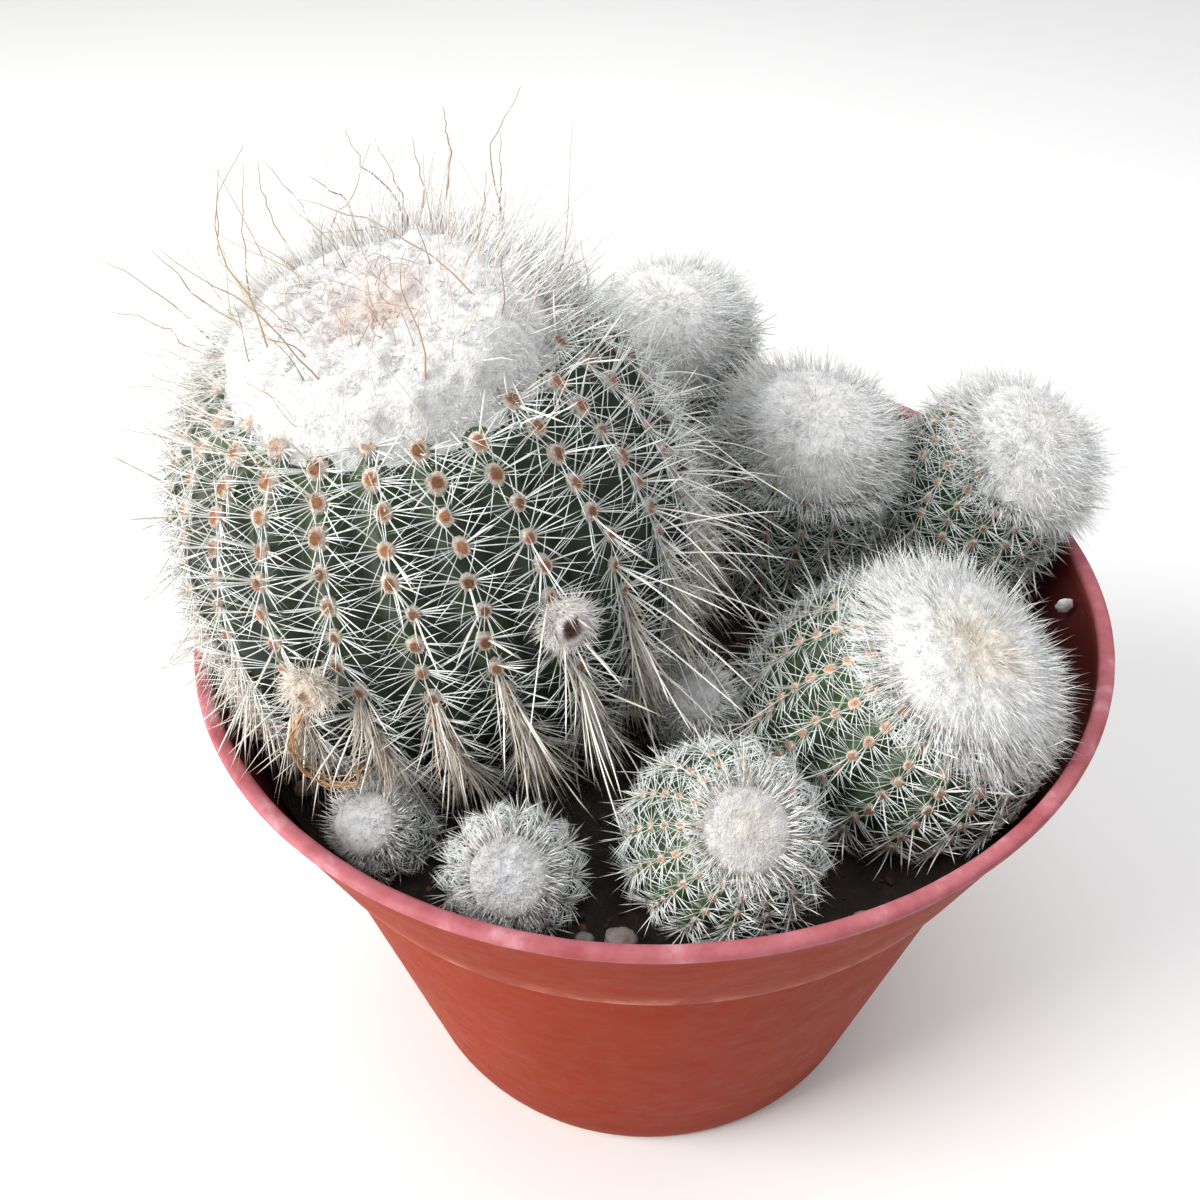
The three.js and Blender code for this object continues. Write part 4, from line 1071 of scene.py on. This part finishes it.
tuft_body("bud_wool", "wool", ("flower_bud",), BUD["p"], BUD["d"], BUD["r"], BUD["h"], MAT_WOOL, (0.13, 0.05, 0.03), (0.82, 0.79, 0.76), 5,
          1000, (0.9, 2.9), (0.94, 0.91, 0.90), hollow=0.12)
tuft_body("dried_flower_wool", "dried_tissue", ("dried_flower",), DRIED["p"], DRIED["d"], DRIED["r"], DRIED["h"], MAT_WOOL, (0.33, 0.19, 0.10),
          (0.74, 0.64, 0.54), 9, 700, (1.0, 3.4), (0.88, 0.82, 0.75), hollow=0.05)
# dark bracts in the middle of the bud
_bp, _bd = np.array(BUD["p"]), unit(BUD["d"])
_e1 = unit(np.cross(_bd, [0.1, 0.2, 1.0]))
_e2 = np.cross(_bd, _e1)
rb = np.random.default_rng(31)
M = 34
ph = rb.random(M) * 2 * np.pi
rr = 0.9 * np.sqrt(rb.random(M))
base = _bp + (rr * np.cos(ph))[:, None] * _e1 + (rr * np.sin(ph))[:, None] * _e2 + _bd * BUD["h"] * 0.22
d = unit(_bd + 0.55 * (np.cos(ph)[:, None] * _e1 + np.sin(ph)[:, None] * _e2) + rb.normal(0, 0.25, (M, 3)))
v, q, t, c = needles(base, d, 0.9 + 1.2 * rb.random(M), 0.17, rb.normal(0, 0.15, (M, 3)), 2,
                     base_col=np.array([0.10, 0.035, 0.02]) * (0.7 + rb.random((M, 1))))
piece("bud_bracts", "dried_tissue", verts=v, quads=q, tris=t, material=MAT_CENTRAL, attrs={"col": c})

# dried strands: the loop and a few thinner fibres beside it
parts = []
path = smooth_path(FIBRE, 40)
rb = np.random.default_rng(8)
wob = np.array([[noise.noise(Vector((i * 0.35, k * 5.1, 0.3))) for k in range(3)] for i in range(40)])
v, q, t = strand(path + 0.25 * wob, 0.30 * np.linspace(1.0, 0.55, 40) * (0.9 + 0.2 * np.abs(wob[:, 0])), 6)
parts.append((v, q, t, np.array([0.36, 0.19, 0.085]) * (0.8 + 0.4 * rb.random((len(v), 1)))))
for k in range(6):
    off = rb.normal(0, 0.9, 3)
    w2 = np.array([[noise.noise(Vector((i * 0.28 + 9 * k, j * 5.1, 2.3))) for j in range(3)] for i in range(30)])
    p2 = smooth_path([np.array(f) + off * (0.4 + 0.6 * i / 5) for i, f in enumerate(FIBRE)], 30) + 0.8 * w2
    v, q, t = strand(p2, 0.12 * np.linspace(1, 0.5, 30), 4)
    parts.append((v, q, t, np.array([0.48, 0.30, 0.16]) * (0.7 + 0.6 * rb.random((len(v), 1)))))
piece("dried_strand_fibres", "dried_tissue", "dried_strand", material=MAT_CENTRAL, **merge(parts))


# ------------------------------------------------------------------ pot
def pot_material():
    m, nt, b = new_material("pot_plastic_mat")
    tc = nt.nodes.new("ShaderNodeTexCoord").outputs["Object"]
    sep = nt.nodes.new("ShaderNodeSeparateXYZ")
    nt.links.new(tc, sep.inputs[0])
    z = sep.outputs["Z"]
    big = noise_tex(nt, 26.0, 4, 0.6, tc)
    base = ramp(nt, big.outputs["Fac"], [(0.30, (0.222, 0.0180, 0.0018)), (0.70, (0.255, 0.0245, 0.0034))])
    c = base.outputs[0]
    # fine vertical and horizontal scuffs
    mp = nt.nodes.new("ShaderNodeMapping")
    mp.inputs["Scale"].default_value = (38.0, 38.0, 420.0)
    nt.links.new(tc, mp.inputs["Vector"])
    sc = node(nt, "ShaderNodeTexNoise", Scale=1.0, Detail=4.0, Roughness=0.6)
    nt.links.new(mp.outputs[0], sc.inputs["Vector"])
    scuff = ramp(nt, sc.outputs["Fac"], [(0.60, (0, 0, 0)), (0.74, (1, 1, 1))])
    patch = noise_tex(nt, 60.0, 3, 0.5, tc)
    pm = ramp(nt, patch.outputs["Fac"], [(0.48, (0, 0, 0)), (0.62, (1, 1, 1))])
    f = math_node(nt, "MULTIPLY", scuff.outputs[0], pm.outputs[0])
    f = math_node(nt, "MULTIPLY", f, 0.16)
    c = mix(nt, "MIX", f, c, (0.50, 0.20, 0.12))
    # chalky wear and a painted highlight along the collar's lower shoulder
    worn = attr(nt, "worn").outputs["Fac"]
    wn = noise_tex(nt, 210.0, 5, 0.65, tc)
    wr = ramp(nt, wn.outputs["Fac"], [(0.40, (0, 0, 0)), (0.62, (1, 1, 1))])
    # partly real limescale wear, partly a painted highlight on the shoulder
    wf = math_node(nt, "MULTIPLY", worn, wr.outputs[0])
    wf = math_node(nt, "MULTIPLY", wf, 0.8, True)
    c = mix(nt, "MIX", wf, c, (0.50, 0.21, 0.14))
    # rosier lip: rubbed wear with a painted sheen in its lighter patches
    lip = attr(nt, "lip").outputs["Fac"]
    ln = noise_tex(nt, 160.0, 4, 0.6, tc)
    lc = ramp(nt, ln.outputs["Fac"], [(0.30, (0.31, 0.072, 0.082)), (0.55, (0.42, 0.135, 0.158)), (0.80, (0.64, 0.37, 0.41))])
    c = mix(nt, "MIX", lip, c, lc.outputs[0])
    # painted shade: the inside wall is coloured a darker maroon than the outside plastic
    inner = attr(nt, "inner").outputs["Fac"]
    ic = ramp(nt, big.outputs["Fac"], [(0.3, (0.060, 0.014, 0.014)), (0.7, (0.13, 0.028, 0.024))])
    c = mix(nt, "MIX", inner, c, ic.outputs[0])
    # dust specks
    sp = noise_tex(nt, 1100.0, 2, 0.5, tc)
    spr = ramp(nt, sp.outputs["Fac"], [(0.69, (0, 0, 0)), (0.76, (1, 1, 1))])
    sf = math_node(nt, "MULTIPLY", spr.outputs[0], 0.12)
    c = mix(nt, "MIX", sf, c, (0.6, 0.34, 0.26))
    nt.links.new(c, b.inputs["Base Color"])
    rr = ramp(nt, wn.outputs["Fac"], [(0.3, (0.46,) * 3), (0.7, (0.62,) * 3)])
    r2 = math_node(nt, "SUBTRACT", rr.outputs[0], math_node(nt, "MULTIPLY", lip, 0.08))
    nt.links.new(r2, b.inputs["Roughness"])
    b.inputs["Specular IOR Level"].default_value = 0.07
    fine = noise_tex(nt, 900.0, 3, 0.6, tc)
    hsum = math_node(nt, "ADD", math_node(nt, "MULTIPLY", fine.outputs["Fac"], 0.35), math_node(nt, "MULTIPLY", sc.outputs["Fac"], 0.5))
    bump(nt, hsum, 0.22, 0.0004, b)
    return m


def make_pot():
    cb = POT_H - COLLAR_H
    collar = lambda z: COLLAR_BOTTOM_R + (RIM_R - COLLAR_BOTTOM_R) * (z - cb) / COLLAR_H
    body = lambda z: BASE_R + (BODY_TOP_R - BASE_R) * z / cb
    # (radius, height, lip mask: rubbed wear with a painted sheen, inner mask: painted shade, wear mask: wear with a
    # painted highlight) from the floor's underside, up the outside and down the inside
    P = []

    def add(r, z, lip=0.0, inner=0.0, worn=0.0):
        P.append((r, z, lip, inner, worn))

    add(6, 0); add(CHANNEL_R[0] - 0.3, 0); add(CHANNEL_R[0], 0.15); add(CHANNEL_R[0] + 0.8, CHANNEL_D)
    add(26.5, CHANNEL_D); add(34.5, CHANNEL_D); add(CHANNEL_R[1] - 0.8, CHANNEL_D); add(CHANNEL_R[1], 0.12); add(CHANNEL_R[1] + 0.4, 0)
    add(BASE_R - 2.3, 0); add(BASE_R - 1.2, 0.16, worn=0.4); add(BASE_R - 0.45, 0.7, worn=0.6); add(body(1.5) - 0.1, 1.6, worn=0.5); add(body(2.6), 2.6, worn=0.2)
    for z in np.linspace(6, cb - 3.2, 13):
        add(body(z), z)
    add(body(cb - 1.6), cb - 1.6); add(body(cb - 0.9), cb - 0.8); add(body(cb) + 0.12, cb - 0.35); add(body(cb) + 0.6, cb - 0.08)
    add(collar(cb) - 0.6, cb + 0.02, worn=0.7); add(collar(cb) - 0.1, cb + 0.35, worn=1.0); add(collar(cb + 1.1), cb + 1.1, worn=1.0)
    add(collar(cb + 2.4), cb + 2.4, worn=0.7); add(collar(cb + 4.0), cb + 4.0, worn=0.25)
    for z in np.linspace(cb + 6, POT_H - 4.0, 7):
        add(collar(z), z)
    add(collar(POT_H - 2.4), POT_H - 2.4, lip=0.05); add(collar(POT_H - 1.75), POT_H - 1.75, lip=0.35)
    add(RIM_R - 0.12, POT_H - 1.25, lip=0.9); add(RIM_R, POT_H - 0.8, lip=1.0); add(RIM_R - 0.12, POT_H - 0.35, lip=1.0)
    add(RIM_R - 0.42, POT_H - 0.06, lip=1.0); add(RIM_R - 0.8, POT_H, lip=1.0); add(RIM_R - LIP_W + 0.7, POT_H - 0.05, lip=1.0)
    add(RIM_R - LIP_W + 0.25, POT_H - 0.22, lip=1.0); add(RIM_R - LIP_W, POT_H - 0.6, lip=0.9); add(RIM_R - LIP_W + 0.02, POT_H - 1.4, lip=0.4, inner=0.4)
    add(collar(POT_H - 3) - WALL, POT_H - 3, inner=0.9)
    for z in np.linspace(POT_H - 5.5, cb + 3.0, 8):
        add(collar(z) - WALL, z, inner=1.0)
    add(collar(cb + 1.6) - WALL, cb + 1.6, inner=1.0); add(body(cb - 0.2) - WALL, cb - 0.2, inner=1.0)
    for z in np.linspace(cb - 6, FLOOR_T + 2, 9):
        add(body(z) - WALL, z, inner=1.0)
    add(BASE_R - 3.4, FLOOR_T, inner=1.0); add(34.5, FLOOR_T, inner=1.0); add(26.5, FLOOR_T, inner=1.0); add(6, FLOOR_T, inner=1.0)
    P = np.array(P)
    seg = 200
    th = np.arange(seg) * 2 * np.pi / seg
    # the rim is a touch out of round, as thin pots are
    z01 = np.clip((P[:, 1] - 60) / (POT_H - 60), 0, 1) ** 1.5
    warp = 0.45 * np.cos(2 * (th - 0.15)) + 0.20 * np.cos(3 * th + 0.8)
    nick = np.array([noise.noise(Vector((math.cos(a) * 16, math.sin(a) * 16, 1.7))) for a in th])
    R = P[:, 0][:, None] + z01[:, None] * warp[None, :] + (P[:, 2][:, None] * 0.05 * nick[None, :])
    Z = P[:, 1][:, None] + P[:, 2][:, None] * 0.05 * nick[None, ::-1]
    X, Y = R * np.cos(th), R * np.sin(th)
    rows = len(P)
    V = np.stack([X, Y, Z + 0 * X], -1).reshape(-1, 3)
    V = np.vstack([V, [0, 0, 0], [0, 0, FLOOR_T]])
    q = grid_quads(rows, seg, True)
    j = np.arange(seg)
    j2 = (j + 1) % seg
    b_, t_ = rows * seg, rows * seg + 1
    tr = np.concatenate([np.stack([np.full(seg, b_), j2, j], 1), np.stack([np.full(seg, t_), (rows - 1) * seg + j, (rows - 1) * seg + j2], 1)])
    at = {k: np.append(np.repeat(P[:, i], seg), [0, 1 if k == "inner" else 0]) for k, i in (("lip", 2), ("inner", 3), ("worn", 4))}
    ob = make_object("pot_moulded", V, q, tr, pot_material(), at)
    # drainage holes and the notches of the foot ring
    cutters = []
    for i in range(DRAIN_N):
        a = 2 * math.pi * i / DRAIN_N
        bpy.ops.mesh.primitive_cylinder_add(vertices=28, radius=DRAIN_R * MM, depth=8 * MM,
                                            location=(DRAIN_PCR * math.cos(a) * MM, DRAIN_PCR * math.sin(a) * MM, 1 * MM))
        cutters.append(bpy.context.object)
    for i in range(4):
        a = math.pi / 4 + i * math.pi / 2
        bpy.ops.mesh.primitive_cube_add(size=1, location=(43.5 * math.cos(a) * MM, 43.5 * math.sin(a) * MM, 0))
        c = bpy.context.object
        c.scale = (14 * MM, 7 * MM, (2 * CHANNEL_D - 0.4) * MM)
        c.rotation_euler = (0, 0, a)
        cutters.append(c)
    bpy.context.view_layer.update()
    for c in cutters:
        md = ob.modifiers.new("cut", "BOOLEAN")
        md.object = c
        md.operation = "DIFFERENCE"
        md.solver = "EXACT"
    dg = bpy.context.evaluated_depsgraph_get()
    me = bpy.data.meshes.new_from_object(ob.evaluated_get(dg), preserve_all_data_layers=True, depsgraph=dg)
    ob.modifiers.clear()
    ob.data = me
    for c in cutters:
        bpy.data.objects.remove(c, do_unlink=True)
    me.polygons.foreach_set("use_smooth", np.full(len(me.polygons), True))
    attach(ob, BODY)
    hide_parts("pot")
    return ob


make_pot()


# ------------------------------------------------------------------ growing mix
def soil_material():
    m, nt, b = new_material("growing_mix_mat")
    n1 = noise_tex(nt, 320.0, 6, 0.7)
    n2 = noise_tex(nt, 60.0, 3)
    c1 = ramp(nt, n1.outputs["Fac"], [(0.30, (0.004, 0.003, 0.0022)), (0.55, (0.016, 0.010, 0.0065)), (0.75, (0.05, 0.032, 0.02))])
    s2 = ramp(nt, n2.outputs["Fac"], [(0.3, (0.6, 0.58, 0.56)), (0.7, (1.3, 1.2, 1.1))])
    c = mix(nt, "MULTIPLY", 1.0, c1.outputs[0], s2.outputs[0])
    nt.links.new(c, b.inputs["Base Color"])
    b.inputs["Roughness"].default_value = 0.9
    bump(nt, n1.outputs["Fac"], 1.0, 0.0012, b)
    return m


def grain_material(name, c0, c1, scale=800.0):
    m, nt, b = new_material(name)
    col = attr(nt, "col").outputs["Color"]
    n1 = noise_tex(nt, scale, 5, 0.65)
    s1 = ramp(nt, n1.outputs["Fac"], [(0.3, c0), (0.7, c1)])
    c = mix(nt, "MULTIPLY", 1.0, col, s1.outputs[0])
    nt.links.new(c, b.inputs["Base Color"])
    b.inputs["Roughness"].default_value = 0.85
    bump(nt, n1.outputs["Fac"], 0.8, 0.0004, b)
    return m


MAT_SOIL = soil_material()
MAT_GRAIN = grain_material("mix_grains_mat", (0.55, 0.5, 0.45), (1.3, 1.25, 1.2))
MAT_PEBBLE = grain_material("pebble_mat", (0.62, 0.6, 0.58), (1.2, 1.18, 1.16), 500.0)


def soil_height(x, y):
    return SOIL_TOP - 0.35 + 0.8 * noise.noise(Vector((x * 0.12, y * 0.12, 0.4))) + 0.55 * noise.noise(Vector((x * 0.45, y * 0.45, 4.4))) \
        + 0.30 * noise.noise(Vector((x * 1.3, y * 1.3, 9.4)))


def make_soil():
    seg, rows = 150, 62
    cb = POT_H - COLLAR_H
    r_in = COLLAR_BOTTOM_R + (RIM_R - COLLAR_BOTTOM_R) * (SOIL_TOP - cb) / COLLAR_H - WALL - 0.45
    rad = r_in * (np.arange(1, rows + 1) / rows) ** 0.8
    th = np.arange(seg) * 2 * np.pi / seg
    V = []
    for rr in rad:
        for a in th:
            x, y = rr * math.cos(a), rr * math.sin(a)
            V.append((x, y, soil_height(x, y)))
    low = [(r_in - 1.2, SOIL_TOP - 4.0), (61.2, cb + 3.0), (58.4, cb - 1.0), (46.2, FLOOR_T + 2.9), (41.4, FLOOR_T + 0.4)]
    for rr, z in low:
        for a in th:
            V.append((rr * math.cos(a), rr * math.sin(a), z))
    n = rows + len(low)
    V += [(0, 0, soil_height(0, 0)), (0, 0, FLOOR_T + 0.4)]
    q = grid_quads(n, seg, True, flip=True)
    j = np.arange(seg)
    j2 = (j + 1) % seg
    t_, b_ = n * seg, n * seg + 1
    tr = np.concatenate([np.stack([np.full(seg, t_), j, j2], 1), np.stack([np.full(seg, b_), (n - 1) * seg + j2, (n - 1) * seg + j], 1)])
    piece("growing_mix", "growing_mix", "soil", verts=np.array(V), quads=q, tris=tr, material=MAT_SOIL)
    # loose lumps of bark and peat
    rnd = np.random.default_rng(55)
    base_v = np.array([(0, 0, 1), (0.894, 0, 0.447), (0.276, 0.851, 0.447), (-0.724, 0.526, 0.447), (-0.724, -0.526, 0.447), (0.276, -0.851, 0.447),
                       (0.724, 0.526, -0.447), (-0.276, 0.851, -0.447), (-0.894, 0, -0.447), (-0.276, -0.851, -0.447), (0.724, -0.526, -0.447), (0, 0, -1)])
    base_f = np.array([(0, 1, 2), (0, 2, 3), (0, 3, 4), (0, 4, 5), (0, 5, 1), (1, 6, 2), (2, 7, 3), (3, 8, 4), (4, 9, 5), (5, 10, 1),
                       (6, 7, 2), (7, 8, 3), (8, 9, 4), (9, 10, 5), (10, 6, 1), (11, 7, 6), (11, 8, 7), (11, 9, 8), (11, 10, 9), (11, 6, 10)])
    parts = []
    for _ in range(1050):
        rr = (r_in - 1.2) * math.sqrt(rnd.random())
        a = rnd.random() * 2 * math.pi
        x, y = rr * math.cos(a), rr * math.sin(a)
        p = np.array([x, y, soil_height(x, y)])
        if any(inside_stem(s, p[None], -0.3)[0] for s in STEMS.values()):
            continue
        size = (0.35 + 1.0 * rnd.random() ** 2.5) * np.array([1.0, 0.55 + 0.4 * rnd.random(), 0.4 + 0.4 * rnd.random()])
        vv = base_v * (0.75 + 0.4 * rnd.random((12, 1))) * size
        ca, sa = math.cos(rnd.random() * 6.28), math.sin(rnd.random() * 6.28)
        al = rnd.random() * 6.28
        rot = np.array([[math.cos(al), -math.sin(al), 0], [math.sin(al), math.cos(al), 0], [0, 0, 1]])
        vv = vv @ rot.T + p + [0, 0, size[2] * 0.4]
        k = rnd.random()
        c = np.array([0.030, 0.018, 0.011]) * (0.5 + rnd.random()) if k < 0.8 else (np.array([0.10, 0.055, 0.03]) if k < 0.95 else np.array([0.42, 0.38, 0.34]))
        parts.append((vv, np.zeros((0, 4), int), base_f, np.tile(c, (12, 1))))
    g = merge(parts)
    piece("mix_grains", "growing_mix", material=MAT_GRAIN, smooth=False, **g)


make_soil()

PEBBLES = {
    "pebble_front": ((-2.6, -60.2, SOIL_TOP + 1.55), (2.6, 1.9, 1.2), 3, (0.21, 0.165, 0.155)),
    "pebble_front_small": ((-7.3, -60.3, SOIL_TOP + 1.35), (1.5, 1.3, 1.0), 9, (0.18, 0.15, 0.14)),
    "pebble_right": ((28.6, -56.2, SOIL_TOP + 1.45), (2.0, 1.5, 1.1), 5, (0.30, 0.24, 0.20)),
    "pebble_left": ((-48.5, -36.8, SOIL_TOP + 1.45), (1.9, 1.6, 1.1), 12, (0.34, 0.27, 0.23)),
    "pebble_rear": ((-19.5, 56.5, SOIL_TOP + 1.65), (2.8, 2.2, 1.3), 21, (0.42, 0.35, 0.31)),
    "pebble_rear_small": ((33.5, 47.0, SOIL_TOP + 1.35), (1.7, 1.4, 1.0), 33, (0.36, 0.30, 0.27)),
    "grit_flake": ((65.6, -1.6, 93.6), (1.5, 0.55, 1.7), 41, (0.82, 0.81, 0.79)),
    "grit_grain": ((64.6, 8.6, 94.4), (0.8, 0.7, 0.8), 47, (0.80, 0.79, 0.77)),
}


def make_stone(name, p, size, seed, col):
    seg, rows = 28, 16
    V = []
    for i in range(1, rows):
        f = math.pi * i / rows
        for k in range(seg):
            a = 2 * math.pi * k / seg
            v = Vector((math.sin(f) * math.cos(a), math.sin(f) * math.sin(a), math.cos(f)))
            facet = 0.0
            rr = 0.88 + 0.16 * noise.noise(v * 1.7 + Vector((seed, 0, 0))) + 0.07 * noise.noise(v * 4.5 + Vector((0, seed, 0)))
            V.append((v.x * rr * size[0] + p[0], v.y * rr * size[1] + p[1], v.z * rr * size[2] + p[2]))
    V += [(p[0], p[1], p[2] + 0.86 * size[2]), (p[0], p[1], p[2] - 0.86 * size[2])]
    n = rows - 1
    q = grid_quads(n, seg, True, flip=True)
    j = np.arange(seg)
    j2 = (j + 1) % seg
    t_, b_ = n * seg, n * seg + 1
    tr = np.concatenate([np.stack([np.full(seg, t_), j, j2], 1), np.stack([np.full(seg, b_), (n - 1) * seg + j2, (n - 1) * seg + j], 1)])
    piece(name + "_stone", "grit" if name.startswith("grit") else "pebble", name, verts=np.array(V), quads=q, tris=tr, material=MAT_PEBBLE,
          attrs={"col": np.tile(np.array(col), (len(V), 1))})


for _n, (_p, _sz, _sd, _c) in PEBBLES.items():
    make_stone(_n, _p, _sz, _sd, _c)

# ------------------------------------------------------------------ stage, light and camera
fm, fnt, fb = new_material("stage_floor_mat")
fn = noise_tex(fnt, 3.0, 2)
fr = ramp(fnt, fn.outputs["Fac"], [(0.3, (0.86, 0.86, 0.86)), (0.7, (0.89, 0.89, 0.89))])
fnt.links.new(fr.outputs[0], fb.inputs["Base Color"])
fb.inputs["Roughness"].default_value = 0.85
floor = make_object("stage_floor", [(-3000, -3000, 0), (3000, -3000, 0), (3000, 3000, 0), (-3000, 3000, 0)], quads=[[0, 1, 2, 3]], material=fm)

world = bpy.data.worlds.new("studio")
scene.world = world
world.use_nodes = True
bg = world.node_tree.nodes["Background"]
bg.inputs[0].default_value = (1.0, 1.0, 1.0, 1)
bg.inputs[1].default_value = 0.50


def area(name, loc, target, size, power, colour=(1, 1, 1)):
    ld = bpy.data.lights.new(name, "AREA")
    ld.shape = "RECTANGLE"
    ld.size, ld.size_y = size
    ld.energy = power
    ld.color = colour
    lo = bpy.data.objects.new(name, ld)
    lo.location = loc
    lo.rotation_euler = (Vector(target) - Vector(loc)).to_track_quat("-Z", "Y").to_euler()
    scene.collection.objects.link(lo)
    return lo


area("key", (-0.75, -0.30, 0.62), (0, 0, 0.09), (0.50, 0.50), 10.5, (1.0, 0.985, 0.96))
area("left_low", (-0.62, -0.32, 0.16), (0, 0, 0.06), (0.30, 0.30), 1.9, (1.0, 0.90, 0.76))
area("top", (0.10, 0.15, 0.95), (0, 0, 0.10), (0.8, 0.8), 5.0, (0.97, 0.985, 1.0))

cam_d = bpy.data.cameras.new("camera")
cam = bpy.data.objects.new("camera", cam_d)
scene.collection.objects.link(cam)
cam_d.sensor_width = 36.0
cam_d.lens = 36.0
cam_d.clip_start, cam_d.clip_end = 0.005, 20.0
C = Vector((0, -146.315, 219.944)) * MM
fw = Vector((-0.04020796, 0.75065785, -0.65946653))
rt = Vector((0.99899031, 0.04343912, -0.01146296))
up = Vector((-0.02004188, 0.65926158, 0.75164652))
cam.matrix_world = Matrix(((rt.x, up.x, -fw.x, C.x), (rt.y, up.y, -fw.y, C.y), (rt.z, up.z, -fw.z, C.z), (0, 0, 0, 1)))
scene.camera = cam
scene.view_settings.view_transform = "Standard"
scene.view_settings.look = "None"
scene.view_settings.exposure = 0.0
